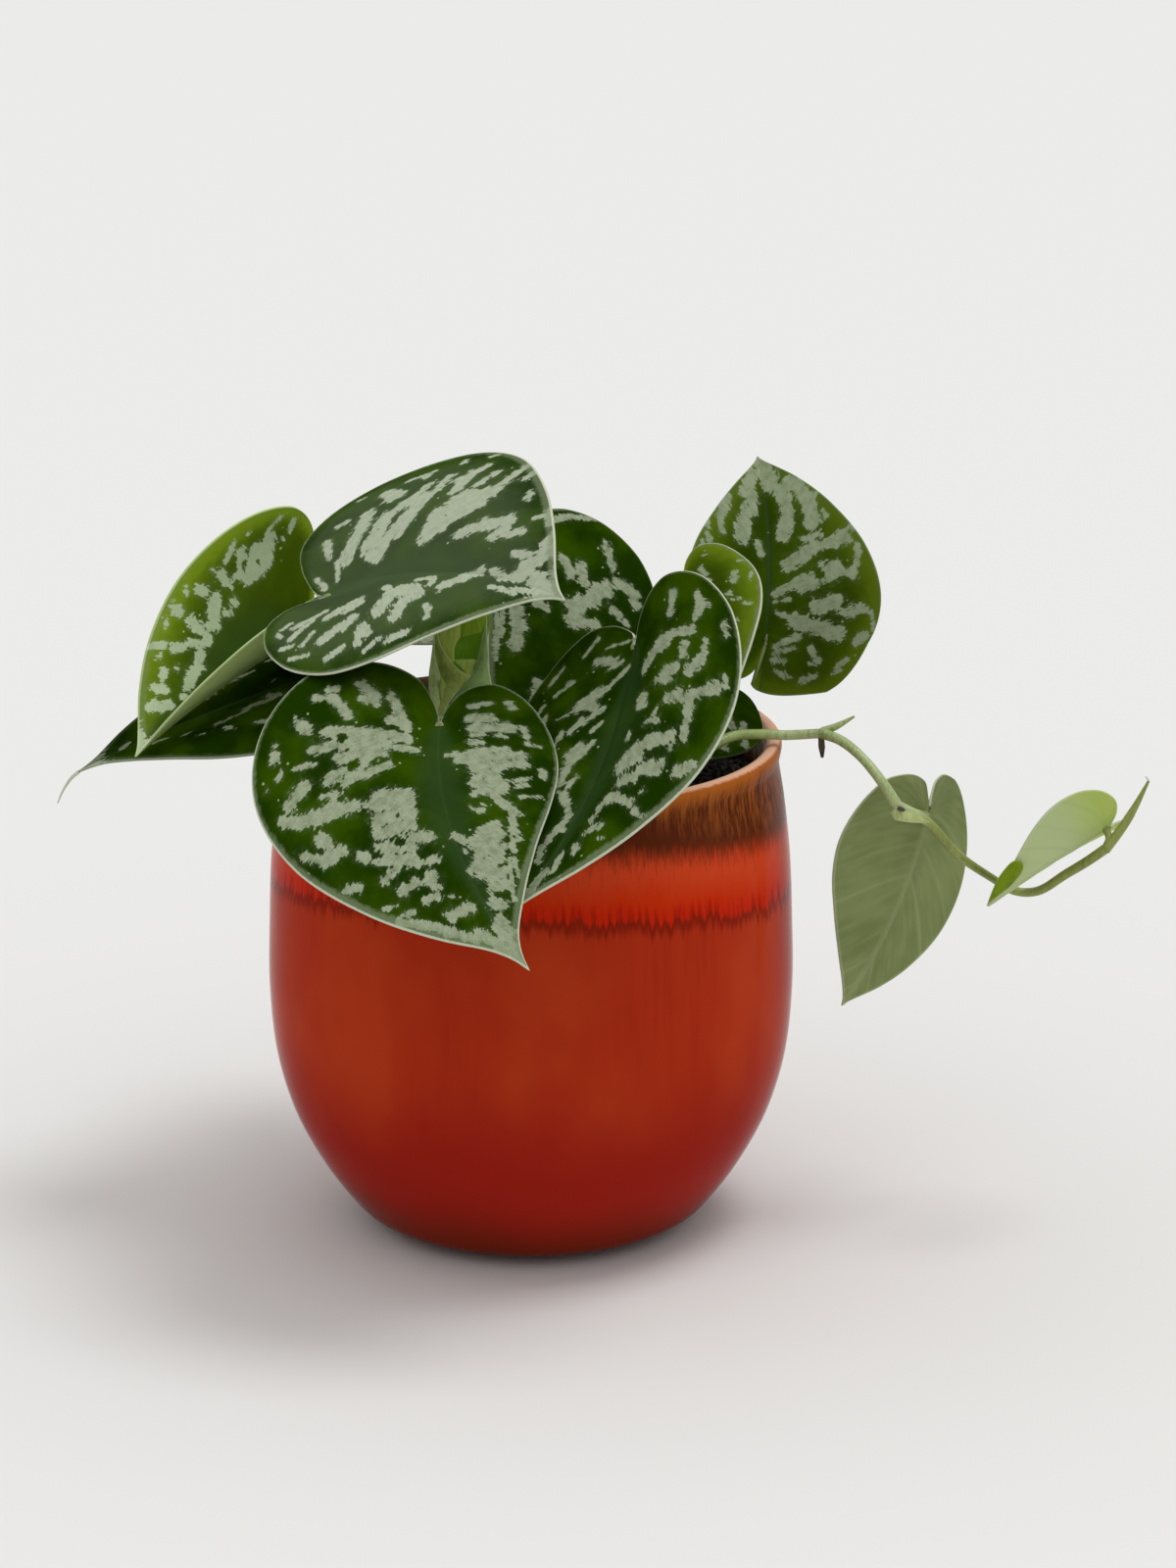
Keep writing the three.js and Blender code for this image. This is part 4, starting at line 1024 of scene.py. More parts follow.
def catmull_rom(points, shares):
    """Points of a smooth curve through the given ones, at shares from 0 to 1."""
    points = np.asarray(points, float)
    last = len(points) - 1
    at = np.clip(np.asarray(shares, float), 0, 1) * last
    i = np.minimum(at.astype(int), last - 1)
    t = (at - i)[..., None]
    padded = np.vstack([2 * points[0] - points[1], points, 2 * points[-1] - points[-2]])
    a, b, c, d = (padded[i + k] for k in range(4))
    square = 2 * a - 5 * b + 4 * c - d
    cube = 3 * b - a - 3 * c + d
    return 0.5 * (2 * b + (c - a) * t + square * t ** 2 + cube * t ** 3)


def turned_points(profile, sides):
    """The points of a [radius, height] profile turned about +Z; its ends lie on the axis."""
    angles = np.arange(sides) * 2 * math.pi / sides
    rings = np.asarray(profile[1:-1], float)
    x = rings[:, :1] * np.cos(angles)
    y = rings[:, :1] * np.sin(angles)
    z = np.repeat(rings[:, 1:], sides, axis=1)
    wall = np.stack([x, y, z], -1).reshape(-1, 3)
    ends = np.array([(0, 0, profile[0][1]), (0, 0, profile[-1][1])])
    return np.vstack([wall, ends])


def turned_faces(rings, sides):
    """The faces of turned_points for that many rings between the two ends, facing out."""
    faces = []
    for i in range(rings - 1):
        for k in range(sides):
            a = i * sides + k
            b = i * sides + (k + 1) % sides
            faces.append((a, b, b + sides, a + sides))
    start, end = rings * sides, rings * sides + 1
    top = (rings - 1) * sides
    for k in range(sides):
        faces.append((start, (k + 1) % sides, k))
        faces.append((end, top + k, top + (k + 1) % sides))
    return faces


# ------------------------------------------------------------------ pot and soil

# Millimetres below the rim at which the inside's colour starts and over which it sets in, and
# the rings past the lip's top from which all is inside.
INSIDE_START = -0.2
INSIDE_FADE = 1.6
LIP_RINGS = 10


def make_pot(settings):
    """The turned pot, with an attribute that tells its inside from its outside."""
    wall = catmull_rom(POT_OUTSIDE, np.linspace(0, 1, settings.samples))
    profile = np.array([*POT_FOOT[:-1], *wall.tolist(), *POT_FLOOR[1:]])
    points = turned_points(profile, settings.sides) * MM
    faces = turned_faces(len(profile) - 2, settings.sides)
    # 0 outside, 1 inside, and a soft change over the top of the lip
    ring = np.arange(len(profile))
    crest = ring[np.argmax(profile[:, 1])]
    past = np.where(ring >= crest, RIM_HEIGHT - profile[:, 1], -1)
    inner = np.clip((past - INSIDE_START) / INSIDE_FADE, 0, 1)
    inner = np.where(ring > crest + LIP_RINGS, 1, inner)
    inside = np.concatenate([np.repeat(inner[1:-1], settings.sides), [0, 1]])
    piece = mesh_piece(
        "glazed_pot", points, faces, [glaze_material(settings)], attributes={"inside": inside},
    )
    register_piece(piece, "glaze", "pot")


SOIL_RINGS = 44
SOIL_SIDES = 150


def soil_relief(x, y):
    """How far the soil stands above its level, in millimetres: low heaps and hollows."""
    heaps = 1.1 * np.sin(x / 8 + 1) * np.cos(y / 10) + 0.7 * np.sin((x + y) / 6)
    return heaps + 0.35 * np.sin(x * 1.3 + 2 * np.sin(y / 3)) * np.cos(y * 1.1 + np.sin(x / 2))


def make_soil(settings):
    """The soil's body, and crumbs scattered over its top."""
    material = soil_material(settings)
    profile = SOIL_WALL + [(r, SOIL_TOP) for r in np.linspace(SOIL_RADIUS, 0, SOIL_RINGS)[1:]]
    points = turned_points(profile, SOIL_SIDES)
    at_top = points[:, 2] > SOIL_TOP - 1
    points[at_top, 2] += soil_relief(points[at_top, 0], points[at_top, 1])
    faces = turned_faces(len(profile) - 2, SOIL_SIDES)
    piece = mesh_piece("potting_mix", points * MM, faces, [material])
    register_piece(piece, "soil", "soil")
    ground = mesh_piece("soil_top", points * MM, [f for f in faces if all(at_top[i] for i in f)], [])
    crumbs = grown(ground, crumb_tree(), "soil_crumbs", {
        "Density": settings.crumbs, "Size": settings.crumb_size, "Seed": settings.seed, "Material": material,
    })
    register_piece(crumbs, "soil")


# ------------------------------------------------------------------ geometry nodes

class Growth:
    """A Geometry Nodes tree, with a geometry coming in and going out."""

    def __init__(self, name, inputs):
        self.tree = bpy.data.node_groups.new(name, "GeometryNodeTree")
        self.tree.interface.new_socket("Geometry", in_out="INPUT", socket_type="NodeSocketGeometry")
        self.tree.interface.new_socket("Geometry", in_out="OUTPUT", socket_type="NodeSocketGeometry")
        for key, kind in inputs.items():
            self.tree.interface.new_socket(key, in_out="INPUT", socket_type="NodeSocket" + kind)
        self.given = self.tree.nodes.new("NodeGroupInput").outputs
        self.result = self.tree.nodes.new("NodeGroupOutput").inputs

    def node(self, kind, settings=None, inputs=None):
        """Adds a node with its settings and inputs, and returns its outputs."""
        if not kind.startswith(("Shader", "Function")):
            kind = "GeometryNode" + kind
        node = self.tree.nodes.new(kind)
        for name, value in (settings or {}).items():
            setattr(node, name, value)
        for key, value in (inputs or {}).items():
            if isinstance(value, bpy.types.NodeSocket):
                self.tree.links.new(value, node.inputs[key])
            else:
                node.inputs[key].default_value = value
        return node.outputs

    def scaled(self, vector, scale):
        """A vector times a number."""
        inputs = {0: vector, "Scale": scale}
        return self.node("ShaderNodeVectorMath", {"operation": "SCALE"}, inputs)[0]

    def random_vector(self, low, high, seed):
        """A vector for each point, between two others."""
        settings = {"data_type": "FLOAT_VECTOR"}
        return self.node("FunctionNodeRandomValue", settings, {0: low, 1: high, "Seed": seed})[0]

    def finish(self, geometry):
        """Ends the tree in real geometry with its material."""
        real = self.node("RealizeInstances", {}, {"Geometry": geometry})
        smooth = self.node("SetShadeSmooth", {}, {"Geometry": real["Geometry"]})
        inputs = {"Geometry": smooth["Geometry"], "Material": self.given["Material"]}
        painted = self.node("SetMaterial", {}, inputs)
        self.tree.links.new(painted["Geometry"], self.result["Geometry"])
        return self.tree


def grown(source, tree, name, values):
    """Runs a tree on the source object and returns its result as a plain mesh object."""
    modifier = source.modifiers.new("grow", "NODES")
    modifier.node_group = tree
    for item in tree.interface.items_tree:
        if item.in_out == "INPUT" and item.name in values:
            modifier[item.identifier] = values[item.name]
    bpy.context.view_layer.update()
    evaluated = source.evaluated_get(bpy.context.evaluated_depsgraph_get())
    mesh = bpy.data.meshes.new_from_object(evaluated)
    mesh.name = name
    source.modifiers.remove(modifier)
    bpy.data.objects.remove(source)
    return place_object(name, mesh)


# A crumb's greatest turn in radians, its least and greatest sizes as shares of the crumb size,
# then the scale of the noise that roughens it and how deep that goes in metres.
CRUMB_TURN = (6.28, 6.28, 6.28)
CRUMB_LEAST = (0.45, 0.35, 0.25)
CRUMB_GREATEST = (1.9, 1.2, 0.8)
CRUMB_SHAPE_SEED = 7
CRUMB_GRAIN = 900.0
CRUMB_ROUGHNESS = 0.0016
# A strand is grooved where its section faces the groove's side by more than this cosine.
GROOVE_START = 0.72


def crumb_tree():
    """Crumbs and bark chips scattered on a surface, each of another size and lie."""
    inputs = {"Density": "Float", "Size": "Float", "Seed": "Int", "Material": "Material"}
    growth = Growth("soil_crumbs", inputs)
    given = growth.given
    points = growth.node("DistributePointsOnFaces", {}, {
        "Mesh": given["Geometry"], "Density": given["Density"], "Seed": given["Seed"],
    })
    chip = growth.node("MeshIcoSphere", {}, {"Radius": 1.0, "Subdivisions": 1})
    turn = growth.random_vector((0, 0, 0), CRUMB_TURN, given["Seed"])
    shape = growth.random_vector(CRUMB_LEAST, CRUMB_GREATEST, CRUMB_SHAPE_SEED)
    placed = growth.node("InstanceOnPoints", {}, {
        "Points": points["Points"], "Instance": chip["Mesh"], "Rotation": turn,
        "Scale": growth.scaled(shape, given["Size"]),
    })
    real = growth.node("RealizeInstances", {}, {"Geometry": placed["Instances"]})
    rough = growth.node("ShaderNodeTexNoise", {}, {"Scale": CRUMB_GRAIN, "Detail": 2.0})
    centred = growth.node("ShaderNodeVectorMath", {"operation": "SUBTRACT"}, {
        0: rough["Color"], 1: (0.5, 0.5, 0.5),
    })
    push = growth.scaled(centred[0], CRUMB_ROUGHNESS)
    moved = growth.node("SetPosition", {}, {"Geometry": real["Geometry"], "Offset": push})
    return growth.finish(moved["Geometry"])


def strand_tree():
    """Grooved strands along the source's curves, as thick as the curves' radius says."""
    inputs = {"Sides": "Int", "Groove": "Float", "Material": "Material"}
    growth = Growth("strands", inputs)
    given = growth.given
    circle = growth.node("CurvePrimitiveCircle", {"mode": "RADIUS"}, {
        "Resolution": given["Sides"], "Radius": 1.0,
    })
    place = growth.node("InputPosition")
    facing = growth.node("ShaderNodeVectorMath", {"operation": "DOT_PRODUCT"}, {
        0: place["Position"], 1: (0, 1, 0),
    })
    near = growth.node("ShaderNodeMapRange", {"interpolation_type": "SMOOTHSTEP"}, {
        "Value": facing["Value"], "From Min": GROOVE_START, "From Max": 1.0, "To Min": 0.0,
        "To Max": given["Groove"],
    })
    inward = growth.node("ShaderNodeMath", {"operation": "MULTIPLY"}, {0: near["Result"], 1: -1.0})
    offset = growth.scaled(place["Position"], inward[0])
    section = growth.node("SetPosition", {}, {"Geometry": circle["Curve"], "Offset": offset})
    thick = growth.node("InputRadius")
    tube = growth.node("CurveToMesh", {}, {
        "Curve": given["Geometry"], "Profile Curve": section["Geometry"], "Scale": thick["Radius"],
        "Fill Caps": True,
    })
    return growth.finish(tube["Mesh"])


# ------------------------------------------------------------------ stems

STRAND_STEP = 1.0
ROUTE_STEPS = 40
LEAST_STEPS = 6
# A stalk swells by this share of its radius where it bears its leaf, at KNEE_AT of its length.
KNEE_SWELL = 0.3
KNEE_AT = 0.93
KNEE_LENGTH = 0.05


def smooth_route(route):
    """Points every millimetre or so along a smooth curve through the route."""
    dense = catmull_rom(route, np.linspace(0, 1, ROUTE_STEPS * (len(route) - 1) + 1))
    along = np.concatenate([[0], np.cumsum(np.linalg.norm(np.diff(dense, axis=0), axis=1))])
    steps = max(LEAST_STEPS, round(along[-1] / STRAND_STEP))
    even = np.linspace(0, along[-1], steps + 1)
    return np.stack([np.interp(even, along, dense[:, axis]) for axis in range(3)], -1)


def strand_radii(radii, shares, knee):
    """The radius along a strand, with a swelling at its end where it bears a leaf."""
    radius = np.interp(shares, (0, 0.5, 1), radii)
    return radius * (1 + knee * np.exp(-((shares - KNEE_AT) / KNEE_LENGTH) ** 2))


def strand_curves(name, strands):
    """A curve object with one spline for each strand. A leaf's stalk ends at the leaf's notch."""
    curve = bpy.data.curves.new(name, "CURVE")
    curve.dimensions = "3D"
    for key, (radii, route) in strands.items():
        leaf = LEAVES.get(key.removeprefix("to_"))
        if leaf:
            notch = blade_points(leaf, np.zeros(1), np.zeros(1))[0]
            route = (*route[:-1], tuple(notch + np.array(route[-1]) - np.array(leaf.at)))
        points = smooth_route(route) * MM
        shares = np.linspace(0, 1, len(points))
        radius = strand_radii(radii, shares, KNEE_SWELL if leaf else 0) * MM
        spline = curve.splines.new("POLY")
        spline.points.add(len(points) - 1)
        spline.points.foreach_set("co", np.column_stack([points, np.ones(len(points))]).ravel())
        spline.points.foreach_set("radius", radius)
    return place_object(name, curve)


SHEATH_STEPS = 40
SHEATH_ARC = 13
SHEATH_THICKNESS = 0.35
# Half widths below this many millimetres bulge less.
SHEATH_FULL = 3
# The way to the front and up, at a right angle to most of the sheaths.
TO_FRONT = np.array([0, -0.9, 0.44])


def sheath_piece(name, tint, bulge, rim, pairs, material):
    """A thin shell between a left and a right edge, bulging to the front."""
    shares = np.linspace(0, 1, SHEATH_STEPS)
    left, right = (catmull_rom([pair[side] for pair in pairs], shares) for side in (0, 1))
    middle, half = (left + right) / 2, (right - left) / 2
    half_width = np.linalg.norm(half, axis=1)
    out = np.linspace(-1, 1, SHEATH_ARC)
    lift = bulge * np.minimum(half_width / SHEATH_FULL, 1)[:, None] * (1 - out ** 2)
    front = middle[:, None] + half[:, None] * out[None, :, None] + TO_FRONT * lift[..., None]
    front = front.reshape(-1, 3)
    points = np.vstack([front, front - TO_FRONT * SHEATH_THICKNESS])
    count = len(front)
    faces = []
    for i in range(SHEATH_STEPS - 1):
        for j in range(SHEATH_ARC - 1):
            a = i * SHEATH_ARC + j
            b, c, d = a + 1, a + SHEATH_ARC + 1, a + SHEATH_ARC
            faces += [(a, b, c, d), (a + count, d + count, c + count, b + count)]
    near = [i * SHEATH_ARC for i in range(SHEATH_STEPS)]
    far = [e + SHEATH_ARC - 1 for e in near]
    loop = near[::-1] + list(range(1, SHEATH_ARC)) + far[1:] + list(range(far[-1] - 1, near[-1], -1))
    for a, b in zip(loop, loop[1:] + loop[:1]):
        faces.append((b, a, a + count, b + count))
    inset = (half_width[:, None] * (1 - np.abs(out))).ravel()
    attributes = {
        "tint": np.tile(tint, (2 * count, 1)),
        "from_rim": np.concatenate([inset, inset]),
        "rim": np.full(2 * count, rim),
    }
    return mesh_piece(name, points * MM, faces, [material], attributes=attributes)


def make_stems(settings):
    """The strands of each stem, the sheaths, the rolled tip, the aerial root and the dry hairs."""
    green = stalk_material(settings)
    tree = strand_tree()
    values = {"Sides": settings.sides, "Groove": settings.groove, "Material": green}
    for name, strands in STEMS.items():
        piece = grown(strand_curves(name + "_route", strands), tree, name + "_strands", values)
        register_piece(piece, "stalk", name)
    sheath = sheath_material()
    for name, (tint, bulge, rim, pairs) in SHEATHS.items():
        register_piece(sheath_piece(name, tint, bulge, rim, pairs, sheath), "stalk")
    make_rolled_tip(sheath)
    values = {"Sides": settings.sides, "Groove": 0.0, "Material": root_material(settings)}
    piece = grown(strand_curves("root_route", BROWN_PARTS), tree, "aerial_root", values)
    register_piece(piece, "stalk")
    values["Material"] = plain_material("dry_hair", paint(206, 210, 188), 0.6)
    piece = grown(strand_curves("hair_route", placed_hairs()), tree, "dry_hairs", values)
    register_piece(piece, "stalk")


def make_rolled_tip(material):
    """The rolled tip of the young leaf, between two edges on its blade."""
    leaf = LEAVES["vine_leaf_young"]
    along, upper, lower = np.array(ROLLED_TIP).T
    edges = []
    for across, out in zip((upper, lower), ROLLED_TIP_OUT):
        edges.append(blade_points(leaf, along, across) + TO_FRONT * out)
    pairs = list(zip(*edges))
    tint = paint(120, 144, 22)
    piece = sheath_piece("rolled_tip", tint, ROLLED_TIP_BULGE, ROLLED_TIP_RIM, pairs, material)
    register_piece(piece, "pale_foliage")


def placed_hairs():
    """The hairs, with the leaf's own hair moved to the leaf's tip."""
    leaf = LEAVES["leaf_left_low"]
    end = blade_points(leaf, np.ones(1) * (1 + leaf.tip / leaf.length), np.zeros(1))[0]
    radii, route = HAIRS["leaf_end"]
    return {**HAIRS, "leaf_end": (radii, tuple(end + np.array(point) for point in route))}


# ------------------------------------------------------------------ leaves

SPINE_START = -0.4
SPINE_STEP = 0.025
SPINE_END = 1.2
SPINE = np.linspace(SPINE_START, SPINE_END, round((SPINE_END - SPINE_START) / SPINE_STEP) + 1)
# The share of the length within which a moved notch takes the blade along.
NOTCH_REACH = 0.15
# Side veins leave the midrib at x0 and run out as x = x0 + (FIRST + GAIN x0) y + ARCH y².
VEIN_FIRST = -0.15
VEIN_GAIN = 2.5
VEIN_ARCH = 1.0
VEINS_A_HALF = 7
# The rows next to the edge, as shares of the rim's width, and how far each swells. Near the ends
# of a half the rim is at most RIM_LIMIT of the way to the midrib.
RIM_STEPS = (1, 0.6, 0.35, 0.12, 0)
RIM_WIDTH = 0.9
RIM_LIMIT = 0.3
RIM_SWELL = (0, 0.07, 0.09, -0.04, -0.14)
# How far the other rows crowd towards the midrib and the rim.
ROW_CROWDING = 0.07
# The tip starts at this share of the length and takes up the rest.
TIP_START = 0.9
TIP_SHARE = 0.1
# The outline's points up to which the gap between the lobes closes, and over which that fades.
SINUS_END = 3.5
SINUS_FADE = 1.5
# The length in millimetres at which patches and zones have their stated size.
USUAL_LENGTH = 75


def leaf_frame(heading, pitch, roll):
    """The leaf's axes as columns: along its midrib, across to its left, up from its face."""
    h, p, r = (math.radians(angle) for angle in (heading, pitch, roll))
    along = np.array([math.cos(p) * math.cos(h), math.cos(p) * math.sin(h), math.sin(p)])
    level = np.array([-math.sin(h), math.cos(h), 0])
    across = level * math.cos(r) + np.cross(along, level) * math.sin(r)
    return np.column_stack([along, across, np.cross(along, across)])


def blade_points(leaf, x, y):
    """Points of the blade's middle surface in millimetres, from shares along and across."""
    near = np.exp(-(x ** 2 + y ** 2) / NOTCH_REACH ** 2)
    x = x + near * leaf.notch[0] / leaf.length
    y = y + near * leaf.notch[1] / leaf.length
    bend, sweep = math.radians(leaf.bend), math.radians(leaf.sweep)
    fall, swing = bend * SPINE, sweep * SPINE
    tangent = np.stack([np.cos(fall) * np.cos(swing), np.cos(fall) * np.sin(swing), -np.sin(fall)], -1)
    left = np.stack([-np.sin(swing), np.cos(swing), 0 * swing], -1)
    normal = np.cross(tangent, left)
    spine = np.zeros((len(SPINE), 3))
    spine[1:] = np.cumsum((tangent[1:] + tangent[:-1]) / 2 * SPINE_STEP, axis=0)
    spine = (spine - spine[round(-SPINE_START / SPINE_STEP)]) * leaf.length
    on = [
        np.stack([np.interp(x, SPINE, table[:, axis]) for axis in range(3)], -1)
        for table in (spine, left, normal)
    ]
    is_left = y >= 0
    fold = np.radians(np.where(is_left, *leaf.fold))
    curl = np.radians(np.where(is_left, *leaf.curl))
    reach = np.abs(y) * 2
    half = leaf.length / 2
    out = np.sign(y) * half * (np.sin(fold + curl * reach) - np.sin(fold)) / curl
    up = half * (np.cos(fold) - np.cos(fold + curl * reach)) / curl
    twist = math.radians(leaf.twist) * x
    out, up = out * np.cos(twist) - up * np.sin(twist), out * np.sin(twist) + up * np.cos(twist)
    points = on[0] + on[1] * out[..., None] + on[2] * up[..., None]
    return points @ leaf_frame(*leaf.turn).T + np.array(leaf.at)


def of_half(pair, side):
    """A pair's value for the left half, where side is 1, or for the right, where it is -1."""
    return pair[0 if side > 0 else 1]


def vein_root(x, y):
    """Where the side vein to a point of the outline leaves the midrib."""
    return (x - VEIN_FIRST * y - VEIN_ARCH * y ** 2) / (1 + VEIN_GAIN * y)


def half_grid(leaf, side, stations, rows):
    """One half of the flat blade: lines along the side veins, from the midrib to the edge."""
    shares = np.linspace(0, 1, stations + 1)
    edge_x, edge_y = catmull_rom(HALF_OUTLINE, shares).T
    edge_x = edge_x + leaf.tip / leaf.length * np.clip((edge_x - TIP_START) / TIP_SHARE, 0, 1) ** 2
    root = vein_root(edge_x, edge_y)
    lobe = leaf.lobe * of_half(leaf.drop, side)
    edge_x = np.where(edge_x < 0, edge_x * lobe, edge_x)
    start = np.maximum(root, 0)
    arch = VEIN_ARCH * edge_y ** 2
    outline_point = shares * (len(HALF_OUTLINE) - 1)
    closed = of_half(leaf.sinus, side) * np.clip((SINUS_END - outline_point) / SINUS_FADE, 0, 1)
    wide = edge_y * (1 - closed) * of_half(leaf.wide, side)
    reach_mm = np.hypot(edge_x - start, wide) * leaf.length
    rim = np.minimum(RIM_WIDTH, RIM_LIMIT * reach_mm)
    even = np.linspace(0, 1, rows - len(RIM_STEPS) + 2)
    even = even - ROW_CROWDING * np.sin(2 * math.pi * even)
    inner_end = 1 - rim / np.maximum(reach_mm, 1e-6)
    share = np.concatenate([
        even[None, :-1] * inner_end[:, None],
        1 - np.array(RIM_STEPS)[None] * (1 - inner_end)[:, None],
    ], axis=1)
    x = start[:, None] + (edge_x - arch - start)[:, None] * share + arch[:, None] * share ** 2
    y = side * wide[:, None] * share
    edge_length = np.concatenate([[0], np.cumsum(np.hypot(np.diff(edge_x), np.diff(wide)))]) * leaf.length
    swell = np.zeros_like(share)
    swell[:, -len(RIM_STEPS):] = np.array(RIM_SWELL)[None] * (rim / RIM_WIDTH)[:, None]
    columns = share.shape[1]
    return {
        "x": x, "y": y, "swell": swell,
        "vein": np.repeat(root[:, None], columns, axis=1),
        "from_margin": (1 - share) * reach_mm[:, None],
        "across_veins": np.repeat(edge_length[:, None], columns, axis=1) + 200 * (side < 0),
        "along_veins": share * reach_mm[:, None],
    }


def blade_sheet(leaf, stations, rows):
    """Both halves as one sheet of points and faces, with equal points merged."""
    halves = [half_grid(leaf, side, stations, rows) for side in (1, -1)]
    columns = halves[0]["x"].shape[1]
    data = {key: np.concatenate([half[key].ravel() for half in halves]) for key in halves[0]}
    key = np.round(np.column_stack([data["x"], data["y"]]), 6) + 0.0
    _, first, merged = np.unique(key, axis=0, return_index=True, return_inverse=True)
    merged = merged.ravel()
    data = {name: values[first] for name, values in data.items()}
    faces = []
    for half, flip in ((0, False), (1, True)):
        base = half * (stations + 1) * columns
        for i in range(stations):
            for j in range(columns - 1):
                a = base + i * columns + j
                corners = [a, a + columns, a + columns + 1, a + 1]
                corners = list(dict.fromkeys(merged[c] for c in corners))
                if len(corners) > 2:
                    faces.append(tuple(corners[::-1] if flip else corners))
    return data, faces


def sheet_normals(points, faces):
    """A unit normal at each point, the mean of the faces round it."""
    normals = np.zeros_like(points)
    for face in faces:
        a, b, c = (points[face[k]] for k in (0, 1, 2))
        normal = np.cross(b - a, c - a)
        if len(face) == 4:
            normal = normal + np.cross(c - a, points[face[3]] - a)
        for corner in face:
            normals[corner] += normal
    lengths = np.linalg.norm(normals, axis=1)
    return normals / np.maximum(lengths, 1e-12)[:, None]


def bump_shape(value, width):
    """1 where the value is 0, and smoothly down to 0 well beyond the width."""
    return np.exp(-(value / width) ** 2)


def vein_point(leaf, side, place, share):
    """A point on the flat leaf in millimetres, and the way the side vein runs through it."""
    edge_x, edge_y = catmull_rom(HALF_OUTLINE, [place])[0]
    root = vein_root(edge_x, edge_y)
    edge_x = edge_x * leaf.lobe if edge_x < 0 else edge_x
    start, arch = max(root, 0), VEIN_ARCH * edge_y ** 2
    wide = side * edge_y * of_half(leaf.wide, side)
    point = np.array([start + (edge_x - arch - start) * share + arch * share ** 2, wide * share])
    way = np.array([edge_x - arch - start + 2 * arch * share, wide])
    return point * leaf.length, way / max(np.linalg.norm(way), 1e-6)


STREAKS_A_HALF = 22
DOTS_A_HALF = 16


def grown_patches(leaf):
    """Patches for a leaf with none listed: long ones along the veins, dots near the edge."""
    rng = np.random.default_rng(leaf.seed)
    scale = leaf.length / USUAL_LENGTH
    strokes = []
    for side in (1, -1):
        for _ in range(round(STREAKS_A_HALF * leaf.silver)):
            point, way = vein_point(leaf, side, rng.uniform(0.12, 0.86), rng.uniform(0.25, 0.7))
            reach = rng.uniform(1, 4.5) * scale
            strokes.append((*(point - way * reach), *(point + way * reach), rng.uniform(1, 2.2) * scale))
        for _ in range(round(DOTS_A_HALF * leaf.silver)):
            point, way = vein_point(leaf, side, rng.uniform(0.1, 0.9), rng.uniform(0.68, 0.92))
            strokes.append((*point, *(point + way), rng.uniform(0.6, 1.3) * scale))
    return strokes


PATCH_SLOPE = 0.62
# The field's least and greatest value, and the share of the length past which the tip is silver.
FIELD_LEAST = -1.5
FIELD_GREATEST = 1.2
SILVER_TIP = 0.78


def silver_field(name, leaf, data):
    """Where the silver patches lie: above 0 inside a patch, below 0 outside."""
    flat = np.column_stack([data["x"], data["y"]]) * leaf.length
    field = np.full(len(flat), FIELD_LEAST)
    for x1, y1, x2, y2, width in PATCHES.get(name) or grown_patches(leaf):
        start, way = np.array([x1, y1]), np.array([x2 - x1, y2 - y1])
        share = np.clip((flat - start) @ way / max(way @ way, 1e-6), 0, 1)
        away = np.linalg.norm(flat - start - share[:, None] * way, axis=1)
        field = np.maximum(field, PATCH_SLOPE * (width - away) / math.sqrt(width))
    for x, y, radius in BARE.get(name, ()):
        away = np.linalg.norm(flat - np.array([x, y]), axis=1)
        field = np.minimum(field, PATCH_SLOPE * (away - radius) / math.sqrt(radius))
    tip = np.where(data["x"] > SILVER_TIP, (data["x"] - TIP_START) * 10, FIELD_LEAST)
    return np.clip(np.maximum(field, tip), FIELD_LEAST, FIELD_GREATEST)


# The width of the zone by the midrib at shares of the length, and the widths of its lines.
ZONE_SHARES = (0, 0.08, 0.25, 0.45, 0.7, 1)
ZONE_WIDTHS = (0.25, 0.6, 1, 0.9, 0.3, 0.08)
MIDRIB_WIDTH = 1.2
# The blade's relief in millimetres: it swells between the veins, fading out at the midrib and
# the margin, waves gently, and has a groove above the midrib and a ridge below it.
RELIEF_FADE = 4
VEIN_LEVEL = 0.6
WAVE_HEIGHT = 0.25
WAVE_LENGTH = 9
WAVE_WIDTH = 8
GROOVE_DEPTH = 0.16
GROOVE_WIDTH = 1.5
RIDGE_HEIGHT = 0.55
RIDGE_WIDTH = 0.8
RIDGE_GROOVE = 0.1
# How far apart the leaves' patterns lie in the noise.
FLAT_APART = 37.0
GRAIN_APART = 53.0


def blade_faces(leaf, data, faces, settings, veins):
    """The points of the blade's face and of its underside, in millimetres."""
    points = blade_points(leaf, data["x"], data["y"])
    normals = sheet_normals(points, faces)
    across = np.abs(data["y"]) * leaf.length
    inner = np.clip(data["from_margin"] / RELIEF_FADE, 0, 1) * np.clip(across / RELIEF_FADE, 0, 1)
    thin = np.clip(1 - data["x"], 0, 1)
    groove = bump_shape(across, GROOVE_WIDTH) * thin ** 0.5
    wave = np.sin(data["x"] * leaf.length / WAVE_LENGTH + leaf.seed)
    wave = wave * np.cos(data["y"] * leaf.length / WAVE_WIDTH + 2 * leaf.seed)
    quilt = settings.quilting / MM
    lift = quilt * inner * (veins - VEIN_LEVEL) + WAVE_HEIGHT * wave * inner - GROOVE_DEPTH * groove
    half = settings.thickness / MM / 2 + data["swell"]
    ridge = RIDGE_HEIGHT * bump_shape(across, RIDGE_WIDTH) * thin ** 0.7
    top = points + normals * (lift + half)[:, None]
    bottom = points + normals * (lift - half - ridge + RIDGE_GROOVE * groove)[:, None]
    return top, bottom


